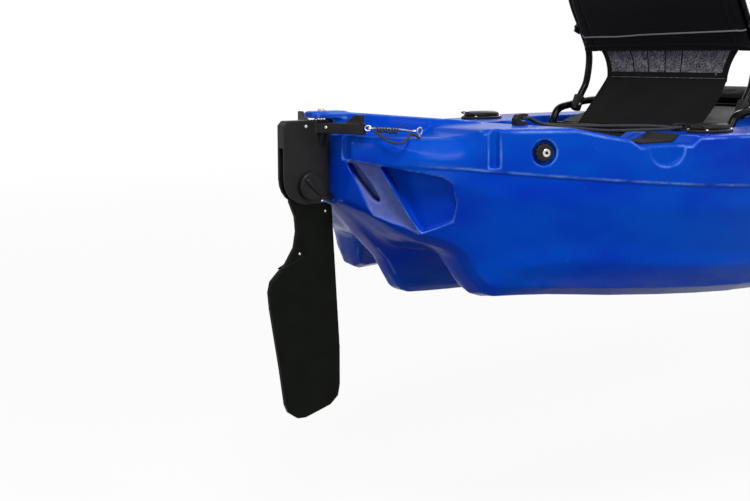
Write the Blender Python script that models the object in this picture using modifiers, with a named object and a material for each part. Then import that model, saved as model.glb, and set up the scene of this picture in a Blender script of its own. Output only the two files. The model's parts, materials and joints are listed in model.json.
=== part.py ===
"""Tandem motorized sit-on-top kayak, in metres: +X to the bow, +Y to port and +Z up.

The origin is the middle of the keel flat. Places along the hull are measured forward from
the transom or aft from the bow, so that each end keeps its shape when the length changes.
"""

import math

import bmesh
import bpy
from mathutils import Matrix, Vector

# Hull
HULL_LENGTH = 4.27
HALF_BEAM = 0.43
STERN_RUN = 0.90
TRANSOM_HALF = 0.076
BOW_RUN = 1.55
STEM_HALF = 0.022
DECK_CUT_TOP = 0.60
WELL_DRAFT = 0.018
WELL_RADIUS = 0.050
FLOOR_RADIUS = 0.014
GAP = 0.0003
WELD = 0.00001

# Heights along the hull: (metres forward of the transom, height), then (metres aft of the bow, height)
KEEL = (
    ((0, 0.240), (0.046, 0.198), (0.075, 0.165), (0.10, 0.140), (0.125, 0.112), (0.142, 0.080),
     (0.158, 0.058), (0.18, 0.048), (0.33, 0.041), (0.84, 0.013), (1.25, 0)),
    ((0, 0.300), (0.02, 0.215), (0.06, 0.145), (0.12, 0.100), (0.25, 0.055), (0.5, 0.022),
     (0.9, 0.004), (1.2, 0)),
)
CROWN = (
    ((0, 0.242), (0.046, 0.203), (0.075, 0.178), (0.10, 0.163), (0.12, 0.156), (0.2, 0.150),
     (0.33, 0.140), (0.84, 0.085), (1.3, 0.050), (1.6, 0.045)),
    ((0, 0.305), (0.02, 0.235), (0.06, 0.180), (0.12, 0.140), (0.25, 0.100), (0.5, 0.068),
     (0.9, 0.052), (1.3, 0.045)),
)
SPONSON = (
    ((0, 0.244), (0.046, 0.206), (0.075, 0.182), (0.10, 0.168), (0.13, 0.158), (0.155, 0.140),
     (0.172, 0.105), (0.19, 0.072), (0.205, 0.064), (0.27, 0.063), (0.5, 0.045), (0.84, 0.024),
     (1.3, 0.013), (1.6, 0.010)),
    ((0, 0.310), (0.02, 0.255), (0.06, 0.215), (0.12, 0.185), (0.25, 0.150), (0.5, 0.100),
     (0.9, 0.048), (1.3, 0.020), (1.8, 0.010)),
)
CHINE = (
    ((0, 0.262), (0.04, 0.232), (0.09, 0.212), (0.125, 0.200), (0.155, 0.178), (0.173, 0.150),
     (0.185, 0.128), (0.22, 0.118), (0.27, 0.115), (0.84, 0.080), (1.4, 0.070)),
    ((0, 0.325), (0.03, 0.290), (0.1, 0.250), (0.25, 0.210), (0.5, 0.165), (0.9, 0.110),
     (1.4, 0.070)),
)
PARTING = (
    ((0, 0.323), (0.035, 0.317), (0.13, 0.3125), (0.17, 0.3077), (0.73, 0.261), (1.5, 0.237)),
    ((0, 0.365), (0.1, 0.350), (0.3, 0.320), (0.8, 0.275), (1.5, 0.237)),
)
SHOULDER = (
    ((0, 0.356), (0.026, 0.353), (0.105, 0.337), (0.145, 0.343), (0.165, 0.374), (0.185, 0.378),
     (0.325, 0.378), (0.375, 0.366), (0.43, 0.356), (0.45, 0.343), (0.565, 0.343), (0.585, 0.3575),
     (0.765, 0.3575), (0.83, 0.362), (1.1, 0.362)),
    ((0, 0.418), (0.3, 0.398), (0.8, 0.378), (1.5, 0.362)),
)
SHEER = (
    ((0, 0.369), (0.12, 0.367), (0.15, 0.369), (0.165, 0.381), (0.185, 0.384), (0.32, 0.384),
     (0.375, 0.373), (0.43, 0.362), (0.45, 0.349), (0.565, 0.349), (0.585, 0.3635), (0.765, 0.3635),
     (0.83, 0.368), (1.1, 0.368)),
    ((0, 0.425), (0.3, 0.405), (0.8, 0.385), (1.5, 0.368)),
)
DECK = (
    SHEER[0],
    ((0, 0.425), (0.3, 0.417), (0.8, 0.397), (1.5, 0.368)),
)

# Widths along the hull, measured in from the side at the same place
CHINE_INSET = (
    ((0, 0.020), (0.12, 0.030), (0.2, 0.030), (0.84, 0.035), (1.4, 0.045)),
    ((0, 0.012), (0.25, 0.060), (0.6, 0.090), (1.3, 0.060)),
)
BILGE_INSET = (
    ((0, 0.015), (0.12, 0.030), (0.2, 0.020), (0.3, 0.035), (0.84, 0.050), (1.4, 0.060)),
    ((0, 0.004), (0.25, 0.060), (0.6, 0.090), (1.3, 0.060)),
)
RIM_OUTER = (
    ((0, 0.020), (0.05, 0.035), (0.10, 0.050), (0.145, 0.050), (0.168, 0.014), (0.3, 0.012)),
    ((0, 0.006), (0.1, 0.012)),
)
KEEL_SHARE = (
    ((0, 0.25), (0.15, 0.13), (0.3, 0.13), (0.84, 0.20), (1.5, 0.25)),
    ((0, 0.30), (0.5, 0.20), (1.5, 0.25)),
)
SPONSON_SHARE = 0.72
RIM_SHARE = 0.78
STERN_STATIONS = (0, 0.023, 0.046, 0.072, 0.098, 0.12, 0.14, 0.155, 0.165, 0.178, 0.192, 0.212, 0.26, 0.32,
                  0.375, 0.43, 0.45, 0.565, 0.585, 0.67, 0.765, 0.83, 0.95, 1.15, 1.4, 1.7, 2.05)
BOW_STATIONS = (2.0, 1.7, 1.4, 1.15, 0.95, 0.8, 0.65, 0.5, 0.38, 0.28, 0.19, 0.12, 0.065, 0.025, 0)

# Raised stern deck and its tongue, as (metres forward of the transom, half width)
STERN_DECK_OUTLINE = ((0.001, 0.014), (0.018, 0.022), (0.05, 0.044), (0.085, 0.070), (0.17, 0.100),
                      (0.285, 0.115))
STERN_DECK_TOP = 0.412
STERN_DECK_FALL = 0.024
TONGUE_REACH = 0.045
TONGUE_HALF = 0.023
TONGUE_THICKNESS = 0.0125

# Stern quarters: outlines as (metres along the quarter from the transom corner, height)
GILL_PANEL = ((-0.012, 0.3235), (0.050, 0.3165), (0.122, 0.190), (0.098, 0.202), (0.038, 0.222))
GILL_SLOT = ((-0.014, 0.3205), (0.006, 0.316), (0.030, 0.286), (0.050, 0.252), (0.048, 0.245), (0.036, 0.251),
             (0.016, 0.276), (-0.006, 0.306))
QUARTER_RECESS = ((0.052, 0.316), (0.168, 0.2965), (0.186, 0.284), (0.192, 0.246), (0.186, 0.214), (0.128, 0.192),
                  (0.112, 0.214))
PANEL_DEPTH = 0.010
SLOT_DEPTH = 0.046
RECESS_DEPTH = 0.040
RECESS_SHALLOW = 0.004
CORNER_GROOVE_WIDTH = 0.018
CORNER_GROOVE_AT = 0.180
CORNER_GROOVE_DEPTH = 0.008
TRANSOM_GROOVE = (0.044, 0.070)
SIDE_SCOOP_AT = (0.508, 0.345)
SIDE_SCOOP_HALF = 0.045
SIDE_SCOOP_DROP = 0.041
SIDE_SCOOP_DEPTH = 0.006

# Deck wells: aft end, fore end, offset to the side, half width aft, half width fore, floor height
TANKWELL = (0.36, 0.735, 0, 0.17, 0.265, 0.19)
REAR_SEAT_DECK = (0.70, 1.42, 0, 0.314, 0.314, 0.330)
REAR_SEAT_WELL = (0.99, 1.38, 0, 0.19, 0.19, 0.20)
REAR_KNEE_WELL = (1.43, 2.06, 0, 0.316, 0.316, 0.26)
REAR_FOOTWELL = (1.46, 2.04, 0.212, 0.095, 0.095, 0.13)
SEAT_SPACING = 1.37
FRONT_KNEE_WELL = (2.80, 3.38, 0, 0.306, 0.275, 0.26)
FRONT_FOOTWELL = (2.82, 3.36, 0.188, 0.092, 0.082, 0.14)

# Bow hatch, measured aft of the bow
HATCH_AFT = 0.77
HATCH_FORE = 0.33
HATCH_HALF_AFT = 0.165
HATCH_HALF_FORE = 0.105
HATCH_SEAT_DEPTH = 0.0152
HATCH_LIP = 0.026
HATCH_FLOOR = 0.16
HATCH_LID_THICKNESS = 0.016
HATCH_LID_CROWN = 0.008
HATCH_HINGE_FORWARD = 0.0015
HATCH_KNOB_FORWARD = 0.075

# Rudder
STEER_AXIS = -0.016
PIN_RADIUS = 0.004
BORE_CLEARANCE = 0.0003
HEAD_AFT = -0.107
HEAD_FORE = -0.006
HEAD_TOP = 0.396
HEAD_BOTTOM = 0.240
HEAD_WEB_BOTTOM = 0.2550
HEAD_HALF = 0.0112
HEAD_CORNER = 0.048
CAVITY_TOP = 0.346
CAVITY_FORE = -0.0262
BLADE_HALF = 0.0065
PIVOT_AT = (-0.050, 0.275)
PIVOT_RADIUS = 0.005
BLADE_TOP_RADIUS = 0.022
YOKE_BOTTOM = 0.372
YOKE_TOP = 0.392
YOKE_REACH = 0.105
YOKE_TAB_TOP = 0.408
KNOB_RADIUS = 0.026
KNOB_THICKNESS = 0.009
KNOB_BORE_DEPTH = 0.004
KNOB_SLOT_DEPTH = 0.0035
BRACKET_HEIGHT = 0.2465
BRACKET_THICKNESS = 0.008
BRACKET_HALF = 0.012
BRACKET_SET_IN = 0.030
BLADE_OUTLINE = ((-0.091, 0.248), (-0.078, 0.217), (-0.0755, 0.190), (-0.081, 0.160), (-0.100, 0.131),
                 (-0.1155, 0.1175), (-0.133, 0.101), (-0.138, 0.0805), (-0.135, 0.049), (-0.126, -0.004),
                 (-0.1155, -0.067), (-0.105, -0.140), (-0.098, -0.156), (-0.078, -0.170), (-0.060, -0.171),
                 (-0.002, -0.155), (0.0155, -0.140), (0.020, -0.118), (0.020, -0.042), (0.014, 0.054),
                 (0.008, 0.150), (0.003, 0.234), (-0.008, 0.2405), (-0.0285, 0.2405))

# Cables and deck fittings at the stern
EYE_AT = (0.0985, 0.150)
EYE_RADIUS = 0.006
EYE_WIRE = 0.0016
CABLE_RADIUS = 0.0016
LINE_RADIUS = 0.0022
PLUG_AT = (0.262, 0.340)
PLUG_RADIUS = 0.0178
PLUG_RECESS_RADIUS = 0.0235
PLUG_RECESS_DEPTH = 0.011
PLUG_NOTCHES = 12
HOOK_AT = (0.298, 0.205)
HOOK_MOUTH = 0.0130
BUNGEE_EYE_AT = (0.672, 0.278)
BUNGEE_EYE_SLOT = (0.003, 0.0115)
BUNGEE_EYE_WIDTH = 0.010
BUNGEE_RADIUS = 0.003

# Rod holders
ROD_AT = (0.69, 0.340)
ROD_FLANGE = (0.058, 0.036)
ROD_FLANGE_THICKNESS = 0.006
ROD_BORE = 0.0215
ROD_WALL = 0.003
ROD_DEPTH = 0.150
ROD_CAP = (0.050, 0.030)
ROD_CAP_HEIGHT = 0.011
ROD_HINGE_UP = 0.0045

# Seats: the side view as (forward, up) from the rear foot
SEAT_FOOT_AT = 0.855
MAT_THICKNESS = 0.0055
MAT_AFT = 0.736
MAT_FORE = 0.975
MAT_HALF = 0.279
RAIL_SPREAD = 0.262
BACK_SPREAD = 0.2438
RAIL_RADIUS = 0.009
BACK_TUBE_RADIUS = 0.0085
SLED = ((0, 0.0005), (0.001, 0.024), (0.0205, 0.049), (0.0645, 0.0595), (0.145, 0.069), (0.30, 0.072), (0.44, 0.070),
        (0.477, 0.052), (0.485, 0.024), (0.486, -0.0053))
BACK_PIVOT = (0.0645, 0.0595)
BACK_TUBE = ((0.078, 0.0837), (0.098, 0.1187), (0.104, 0.1837), (0.078, 0.240), (0.042, 0.3037),
             (0.005, 0.404))
BACK_TUBE_CROWN = (-0.014, 0.462)
SEAT_PIN_RADIUS = 0.0035
CROSSBARS = ((0.002, 0.0115), (0.225, 0.062), (0.425, 0.062))
CROSSBAR_RADIUS = 0.0075
BACKREST_BOTTOM = 0.184
LUMBAR_BOTTOM = 0.124
WAIST_HALF = 0.173
SKIRT_HALF = 0.195
SKIRT_CLEARANCE = 0.0065
BACKREST_WALL = 0.0035
SLEEVE_CLEARANCE = 0.0006
CUSHION = (0.212, 0.470)
CUSHION_HALF = 0.231
CUSHION_THICKNESS = 0.028

# Foot pedals
REAR_PEDAL_AT = 1.93
FRONT_PEDAL_AT = 3.24
PEDAL_WIDTH = 0.076
PEDAL_HEIGHT = 0.150
PEDAL_THICKNESS = 0.012
PEDAL_BASE = 0.100

# Motor drive
DRIVE_AT = 1.69
DRIVE_SLOT_LENGTH = 0.34
DRIVE_SLOT_HALF = 0.042
HOUSING_LENGTH = 0.42
HOUSING_HALF = 0.070
HOUSING_HEIGHT = 0.075
LEG_CHORD = 0.075
LEG_THICKNESS = 0.024
POD_HEIGHT = -0.130
POD_LENGTH = 0.200
POD_RADIUS = 0.032
PROPELLER_RADIUS = 0.098
HUB_RADIUS = 0.017
HUB_LENGTH = 0.034
BLADE_CHORD = 0.036
THROTTLE_HUB = 0.013
THROTTLE_REACH = 0.075
THROTTLE_FORWARD = 0.115
BAIL_LENGTH = 0.115
BAIL_HALF = 0.040
BAIL_RADIUS = 0.005
BAIL_FORWARD = 0.055
BAIL_HEIGHT = 0.0055

# Steering lever, gear tracks, handles, battery
LEVER_AT = (1.28, 0.368)
LEVER_BASE_RADIUS = 0.030
LEVER_BASE_HEIGHT = 0.012
LEVER_REACH = 0.120
TRACK_AT = 0.374
TRACK_AFT = 1.52
TRACK_LENGTH = 0.32
TRACK_WIDTH = 0.026
TRACK_HEIGHT = 0.012
HANDLE_AT = 2.13
HANDLE_HALF = 0.095
HANDLE_HEIGHT = 0.338
HANDLE_DROP = 0.050
HANDLE_RADIUS = 0.006
HANDLE_SET_IN = 0.012
HANDLE_POCKET_DEPTH = 0.030
BOW_HANDLE_AT = 0.150
BOW_HANDLE_HALF = 0.044
BOW_HANDLE_REACH = 0.080
BATTERY_SIZE = (0.190, 0.130, 0.150)
BATTERY_AT = 0.60

COLOURS = {
    "blue_polyethylene": ((0.004, 0.090, 0.560), 0.32, 0.0),
    "black_plastic": ((0.012, 0.012, 0.013), 0.45, 0.0),
    "black_rubber": ((0.010, 0.010, 0.010), 0.75, 0.0),
    "stainless_steel": ((0.60, 0.58, 0.55), 0.28, 1.0),
    "black_tube": ((0.020, 0.020, 0.022), 0.35, 0.6),
    "black_fabric": ((0.012, 0.012, 0.012), 0.90, 0.0),
    "grey_mesh": ((0.160, 0.160, 0.165), 0.90, 0.0),
}


def clear_scene():
    """Removes every object, and makes the two collections."""
    for obj in list(bpy.data.objects):
        bpy.data.objects.remove(obj)
    parts = bpy.data.collections.new("tandem_motorized_kayak")
    tools = bpy.data.collections.new("cutters")
    for collection in (parts, tools):
        bpy.context.scene.collection.children.link(collection)
    tools.hide_render = True
    return parts, tools


PARTS, TOOLS = clear_scene()


def material(name):
    """The Principled material of that name, made once."""
    if name in bpy.data.materials:
        return bpy.data.materials[name]
    colour, roughness, metallic = COLOURS[name]
    made = bpy.data.materials.new(name)
    made.use_nodes = True
    shader = made.node_tree.nodes["Principled BSDF"]
    shader.inputs["Base Color"].default_value = (*colour, 1)
    shader.inputs["Roughness"].default_value = roughness
    shader.inputs["Metallic"].default_value = metallic
    made.diffuse_color = (*colour, 1)
    return made


def place(name, mesh, finish=None):
    """An object for a mesh: a part where it has a finish, and otherwise a hidden tool."""
    obj = bpy.data.objects.new(name, mesh)
    if finish:
        PARTS.objects.link(obj)
        mesh.materials.clear()
        mesh.materials.append(material(finish))
        mesh.shade_smooth()
        mesh.set_sharp_from_angle(angle=math.radians(32))
    else:
        TOOLS.objects.link(obj)
        obj.hide_render = True
        obj.display_type = "WIRE"
    return obj


def from_bmesh(name, bm, finish=None):
    """Recalculates the normals of a closed body and places it."""
    bmesh.ops.recalc_face_normals(bm, faces=bm.faces)
    mesh = bpy.data.meshes.new(name)
    bm.to_mesh(mesh)
    bm.free()
    return place(name, mesh, finish)


def skin(name, rings, finish=None):
    """A closed body over rings of the same number of points, with both ends capped."""
    bm = bmesh.new()
    rows = [[bm.verts.new(point) for point in ring] for ring in rings]
    count = len(rows[0])
    for low, high in zip(rows, rows[1:]):
        for i in range(count):
            bm.faces.new((low[i], low[(i + 1) % count], high[(i + 1) % count], high[i]))
    bm.faces.new(rows[0])
    bm.faces.new(rows[-1])
    return from_bmesh(name, bm, finish)


def combine(body, tool, operation="DIFFERENCE"):
    """Cuts the tool from the body, or joins it on."""
    step = body.modifiers.new(f"{operation.lower()} {tool.name}", "BOOLEAN")
    step.operation = operation
    step.solver = "EXACT"
    step.object = tool
    return body


def soften(body, width, segments=2, angle=35):
    """Rounds the edges that are sharper than the angle."""
    step = body.modifiers.new("rounded edges", "BEVEL")
    step.width = width
    step.segments = segments
    step.limit_method = "ANGLE"
    step.angle_limit = math.radians(angle)
    return body


def cylinder(name, radius, depth, centre, axis=(0, 0, 1), sides=24, finish=None, far_radius=None):
    """A cylinder or cone about the axis, with its middle at the centre."""
    bm = bmesh.new()
    bmesh.ops.create_cone(bm, cap_ends=True, segments=sides, radius1=radius,
                          radius2=radius if far_radius is None else far_radius, depth=depth)
    turn = Vector((0, 0, 1)).rotation_difference(Vector(axis)).to_matrix().to_4x4()
    bmesh.ops.transform(bm, matrix=Matrix.Translation(centre) @ turn, verts=bm.verts)
    return from_bmesh(name, bm, finish)


def box(name, low, high, finish=None, radius=0, segments=2):
    """A box between two corners, with every edge rounded where a radius is given."""
    bm = bmesh.new()
    bmesh.ops.create_cube(bm, size=1)
    for vert in bm.verts:
        vert.co = [a if c < 0 else b for c, a, b in zip(vert.co, low, high)]
    if radius:
        bmesh.ops.bevel(bm, geom=bm.edges, offset=radius, segments=segments, affect="EDGES", profile=0.5)
    return from_bmesh(name, bm, finish)


def turned(name, profile, centre, axis, sides=24, finish=None):
    """A turned solid: the profile is (radius, height) pairs from the top down, ends on the axis."""
    bm = bmesh.new()
    outline = [bm.verts.new((radius, 0, height)) for radius, height in profile]
    for a, b in zip(outline, outline[1:]):
        bm.edges.new((a, b))
    mesh = bpy.data.meshes.new(name)
    bm.to_mesh(mesh)
    bm.free()
    body = bpy.data.objects.new(name, mesh)
    TOOLS.objects.link(body)
    screw = body.modifiers.new("turned", "SCREW")
    screw.steps = sides
    screw.render_steps = sides
    screw.use_merge_vertices = True
    screw.merge_threshold = WELD
    solid = bpy.data.meshes.new_from_object(body.evaluated_get(bpy.context.evaluated_depsgraph_get()))
    bpy.data.objects.remove(body)
    turn = Vector((0, 0, 1)).rotation_difference(Vector(axis)).to_matrix().to_4x4()
    solid.transform(Matrix.Translation(centre) @ turn)
    bm = bmesh.new()
    bm.from_mesh(solid)
    bmesh.ops.remove_doubles(bm, verts=bm.verts, dist=WELD)
    return from_bmesh(name, bm, finish)


def smooth_route(points, steps):
    """Points along a smooth curve through the given ones."""
    ends = [Vector(p) for p in points]
    ends = [2 * ends[0] - ends[1], *ends, 2 * ends[-1] - ends[-2]]
    route = []
    for a, b, c, d in zip(ends, ends[1:], ends[2:], ends[3:]):
        for i in range(steps):
            t = i / steps
            route.append(0.5 * (2 * b + (c - a) * t + (2 * a - 5 * b + 4 * c - d) * t * t
                                + (3 * b - a - 3 * c + d) * t ** 3))
    return [*route, ends[-2]]


def square_ended(points, steps):
    """A smooth route whose first and last pieces stay straight, so that its ends are square."""
    return [points[0], *smooth_route(points[1:-1], steps), points[-1]]


def curve_solid(name, curve, finish, matrix=None):
    """Turns a curve into a closed mesh, with its loose caps welded on."""
    guide = bpy.data.objects.new(name, curve)
    TOOLS.objects.link(guide)
    mesh = bpy.data.meshes.new_from_object(guide.evaluated_get(bpy.context.evaluated_depsgraph_get()))
    bpy.data.objects.remove(guide)
    if matrix:
        mesh.transform(matrix)
    bm = bmesh.new()
    bm.from_mesh(mesh)
    bmesh.ops.remove_doubles(bm, verts=bm.verts, dist=WELD)
    return from_bmesh(name, bm, finish)


def tube(name, points, radius, finish=None, resolution=2):
    """A round tube or wire along the points, with flat ends."""
    curve = bpy.data.curves.new(name, "CURVE")
    curve.dimensions = "3D"
    curve.bevel_depth = radius
    curve.bevel_resolution = resolution
    curve.use_fill_caps = True
    spline = curve.splines.new("POLY")
    spline.points.add(len(points) - 1)
    for slot, point in zip(spline.points, points):
        slot.co = (*point, 1)
    return curve_solid(name, curve, finish)


def plate(name, outline, thickness, matrix, finish=None, holes=()):
    """A flat plate of the outline, centred on its thickness, then placed by the matrix."""
    curve = bpy.data.curves.new(name, "CURVE")
    curve.dimensions = "2D"
    curve.fill_mode = "BOTH"
    curve.extrude = thickness / 2
    for loop in (outline, *holes):
        spline = curve.splines.new("POLY")
        spline.use_cyclic_u = True
        spline.points.add(len(loop) - 1)
        for slot, point in zip(spline.points, loop):
            slot.co = (point[0], point[1], 0, 1)
    return curve_solid(name, curve, finish, matrix)


def arc(centre, radius, start, end, count):
    """Points on an arc, with its angles in degrees."""
    angles = [math.radians(start + (end - start) * i / count) for i in range(count + 1)]
    return [(centre[0] + radius * math.cos(a), centre[1] + radius * math.sin(a)) for a in angles]


def rounded(corners, radius, count=4):
    """The corners of a convex outline, each replaced by an arc."""
    outline = []
    for i, corner in enumerate(corners):
        here = Vector(corner)
        back = (Vector(corners[i - 1]) - here).normalized()
        on = (Vector(corners[(i + 1) % len(corners)]) - here).normalized()
        half = back.angle(on) / 2
        reach = radius / math.tan(half)
        start, end = here + back * reach, here + on * reach
        centre = here + (back + on).normalized() * radius / math.sin(half)
        for k in range(count + 1):
            ray = (start - centre).lerp(end - centre, k / count).normalized()
            outline.append(tuple(centre + ray * radius))
    return outline


def oval(length, width, count=24):
    """An ellipse with the given half length and half width."""
    return [(length * math.cos(math.tau * i / count), width * math.sin(math.tau * i / count)) for i in range(count)]


SIDE_VIEW = Matrix(((1, 0, 0, 0), (0, 0, -1, 0), (0, 1, 0, 0), (0, 0, 0, 1)))


def stern(distance):
    return distance - HULL_LENGTH / 2


def bow(distance):
    return HULL_LENGTH / 2 - distance


def fair(table, x):
    """The value at x of a smooth curve through (place, value) pairs that never overshoots them."""
    if x <= table[0][0]:
        return table[0][1]
    if x >= table[-1][0]:
        return table[-1][1]
    slopes = [(b[1] - a[1]) / (b[0] - a[0]) for a, b in zip(table, table[1:])]
    i = max(k for k in range(len(slopes)) if table[k][0] <= x)
    before = slopes[i - 1] if i else slopes[i]
    after = slopes[i + 1] if i + 1 < len(slopes) else slopes[i]
    start, end = (0 if s * slopes[i] <= 0 else 2 * s * slopes[i] / (s + slopes[i]) for s in (before, after))
    span = table[i + 1][0] - table[i][0]
    t = (x - table[i][0]) / span
    return (table[i][1] * (1 + 2 * t) * (1 - t) ** 2 + span * start * t * (1 - t) ** 2
            + table[i + 1][1] * t * t * (3 - 2 * t) + span * end * t * t * (t - 1))


def along(line, distance):
    """The value of a hull line at a distance forward of the transom."""
    aft, fore = line
    return fair([*aft, *((HULL_LENGTH - e, v) for e, v in reversed(fore))], distance)


def half_beam(distance):
    """Half the hull's width: an elliptic stern, a straight middle and a parabolic bow."""
    cut = math.sqrt(1 - (TRANSOM_HALF / HALF_BEAM) ** 2)
    to_bow = HULL_LENGTH - distance
    if distance < STERN_RUN:
        return HALF_BEAM * math.sqrt(1 - (cut * (1 - distance / STERN_RUN)) ** 2)
    if to_bow < BOW_RUN:
        return STEM_HALF + (HALF_BEAM - STEM_HALF) * (1 - (1 - to_bow / BOW_RUN) ** 2)
    return HALF_BEAM


def half_section(distance):
    """Half a cross-section as (y, z), from the keel's middle round the side to the deck's middle."""
    beam = half_beam(distance)
    keel, crown, sponson, chine, parting, shoulder, sheer, deck = (
        along(line, distance) for line in (KEEL, CROWN, SPONSON, CHINE, PARTING, SHOULDER, SHEER, DECK))
    chine_y = beam - along(CHINE_INSET, distance)
    outer = chine_y - along(BILGE_INSET, distance)
    keel_y = outer * along(KEEL_SHARE, distance)
    inner = outer * SPONSON_SHARE
    crown_y = (keel_y + inner) / 2
    rim_y = beam - along(RIM_OUTER, distance)
    return [
        (0, keel),
        (0.6 * keel_y, keel),
        (keel_y, keel + 0.12 * (crown - keel)),
        (keel_y + 0.22 * (crown_y - keel_y), keel + 0.55 * (crown - keel)),
        (keel_y + 0.55 * (crown_y - keel_y), keel + 0.9 * (crown - keel)),
        (crown_y, crown),
        (crown_y + 0.45 * (inner - crown_y), sponson + 0.9 * (crown - sponson)),
        (crown_y + 0.78 * (inner - crown_y), sponson + 0.55 * (crown - sponson)),
        (inner, sponson + 0.12 * (crown - sponson)),
        (inner + 0.4 * (outer - inner), sponson),
        (outer, sponson + 0.10 * (chine - sponson)),
        (outer + 0.7 * (chine_y - outer), sponson + 0.45 * (chine - sponson)),
        (chine_y, chine),
        (chine_y + 0.45 * (beam - chine_y), chine + 0.35 * (parting - chine)),
        (beam - 0.003, parting - 0.25 * (parting - chine)),
        (beam - 0.004, parting - 0.004),
        (beam, parting),
        (beam, parting + 0.5 * (shoulder - parting)),
        (beam - 0.15 * (beam - rim_y), shoulder),
        (rim_y + 0.35 * (beam - rim_y), sheer - 0.2 * (sheer - shoulder)),
        (rim_y, sheer),
        (rim_y * RIM_SHARE, sheer + 0.3 * (deck - sheer)),
        (rim_y * 0.35, deck),
        (0, deck),
    ]


def hull_skin():
    """The lofted outside of the hull: half a body, mirrored across the middle."""
    places = [*STERN_STATIONS, *(HULL_LENGTH - e for e in BOW_STATIONS)]
    bm = bmesh.new()
    rows = [[bm.verts.new((stern(d), y, z)) for y, z in half_section(d)] for d in places]
    for low, high in zip(rows, rows[1:]):
        for i in range(len(low) - 1):
            bm.faces.new((low[i], low[i + 1], high[i + 1], high[i]))
    bm.faces.new(reversed(rows[0]))
    bm.faces.new(rows[-1])
    bmesh.ops.recalc_face_normals(bm, faces=bm.faces)
    mesh = bpy.data.meshes.new("hull")
    bm.to_mesh(mesh)
    bm.free()
    hull = place("hull", mesh, "blue_polyethylene")
    mirror = hull.modifiers.new("port side", "MIRROR")
    mirror.use_axis = (False, True, False)
    mirror.use_clip = True
    mirror.merge_threshold = 0.0001
    return hull


def well(name, aft, fore, offset, half_aft, half_fore, floor, radius=WELL_RADIUS, floor_radius=FLOOR_RADIUS,
         draft=WELL_DRAFT):
    """A cutter for a well with drawn-in walls, rounded corners and a rounded floor edge."""
    rings = []
    for z, inset in ((floor, draft + floor_radius), (floor + 0.3 * floor_radius, draft + 0.3 * floor_radius),
                     (floor + floor_radius, draft), (DECK_CUT_TOP, 0)):
        x0, x1 = stern(aft) + inset, stern(fore) - inset
        corners = ((x0, offset - half_aft + inset), (x1, offset - half_fore + inset),
                   (x1, offset + half_fore - inset), (x0, offset + half_aft - inset))
        rings.append([(x, y, z) for x, y in rounded(corners, radius)])
    return skin(name, rings)


def forward_by(well_size, distance):
    """The same well, further forward."""
    return (well_size[0] + distance, well_size[1] + distance, *well_size[2:])


def quarter_frame(side):
    """The transom corner, the way along the stern quarter and its outward normal, on one side."""
    corner = Vector((stern(0), side * TRANSOM_HALF, 0))
    end = CORNER_GROOVE_AT
    way = Vector((end, side * (half_beam(end) - TRANSOM_HALF), 0)).normalized()
    outward = Vector((-way.y * side, way.x * side, 0)) * side
    return corner, way, outward if outward.y * side > 0 else -outward


def quarter_cutter(name, outline, depth, side, far_depth=None):
    """A cutter through the stern quarter, as deep at its far end as far_depth says."""
    corner, way, outward = quarter_frame(side)
    start, end = min(s for s, z in outline), max(s for s, z in outline)
    far_depth = depth if far_depth is None else far_depth
    outer, inner = [], []
    for s, z in outline:
        here = corner + way * s + Vector((0, 0, z))
        deep = depth + (far_depth - depth) * (s - start) / (end - start)
        outer.append(here + outward * 0.06)
        inner.append(here - outward * deep)
    return skin(name, [outer, inner])


def stern_deck(hull):
    """The raised stern deck with the tongue that holds the top of the rudder pin."""
    for name, low, high, outline in (
        ("stern_deck_block", 0.340, STERN_DECK_TOP, STERN_DECK_OUTLINE),
        ("stern_tongue", STERN_DECK_TOP - TONGUE_THICKNESS, STERN_DECK_TOP,
         ((-TONGUE_REACH, 0.6 * TONGUE_HALF), (-0.85 * TONGUE_REACH, TONGUE_HALF), (0.03, TONGUE_HALF))),
    ):
        around = [(d, y) for d, y in outline] + [(d, -y) for d, y in reversed(outline)]
        rings = []
        for share in (0, 0.75, 1):
            z = low + (high - low) * share
            inset = 0.006 if share == 1 else 0
            fall = STERN_DECK_FALL * share if name == "stern_deck_block" else 0
            rings.append([(stern(d), y - math.copysign(inset, y), z - fall * max(0, d) / outline[-1][0])
                          for d, y in around])
        combine(hull, skin(name, rings), "UNION")


def rudder_seat(hull):
    """The bore for the rudder pin and the slot for the pin's bracket."""
    pin_at = stern(STEER_AXIS)
    combine(hull, cylinder("pin_bore", PIN_RADIUS + BORE_CLEARANCE, 0.05, (pin_at, 0, STERN_DECK_TOP), sides=16))
    low = (stern(-0.05), -BRACKET_HALF - GAP, BRACKET_HEIGHT - GAP)
    high = (stern(BRACKET_SET_IN) + GAP, BRACKET_HALF + GAP, BRACKET_HEIGHT + BRACKET_THICKNESS + GAP)
    combine(hull, box("bracket_slot", low, high))


def stern_quarters(hull):
    """The slots, panels and recesses of both stern quarters, and the grooves at their ends."""
    for side, word in ((1, "port"), (-1, "starboard")):
        combine(hull, quarter_cutter(f"gill_panel_{word}", GILL_PANEL, PANEL_DEPTH, side))
        combine(hull, quarter_cutter(f"quarter_recess_{word}", QUARTER_RECESS, RECESS_DEPTH, side, RECESS_SHALLOW))
        combine(hull, quarter_cutter(f"gill_slot_{word}", GILL_SLOT, SLOT_DEPTH, side))
        edge = side * half_beam(CORNER_GROOVE_AT)
        low = (stern(CORNER_GROOVE_AT) - CORNER_GROOVE_WIDTH / 2, edge - CORNER_GROOVE_DEPTH, 0.313)
        high = (stern(CORNER_GROOVE_AT) + CORNER_GROOVE_WIDTH / 2, edge + 0.03, 0.45)
        if side < 0:
            low, high = (low[0], edge - 0.03, low[2]), (high[0], edge + CORNER_GROOVE_DEPTH, high[2])
        combine(hull, box(f"corner_groove_{word}", low, high))
        inner, outer = sorted(side * y for y in TRANSOM_GROOVE)
        combine(hull, box(f"transom_groove_{word}", (stern(-0.02), inner, 0.325), (stern(0.008), outer, 0.40)))


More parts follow.
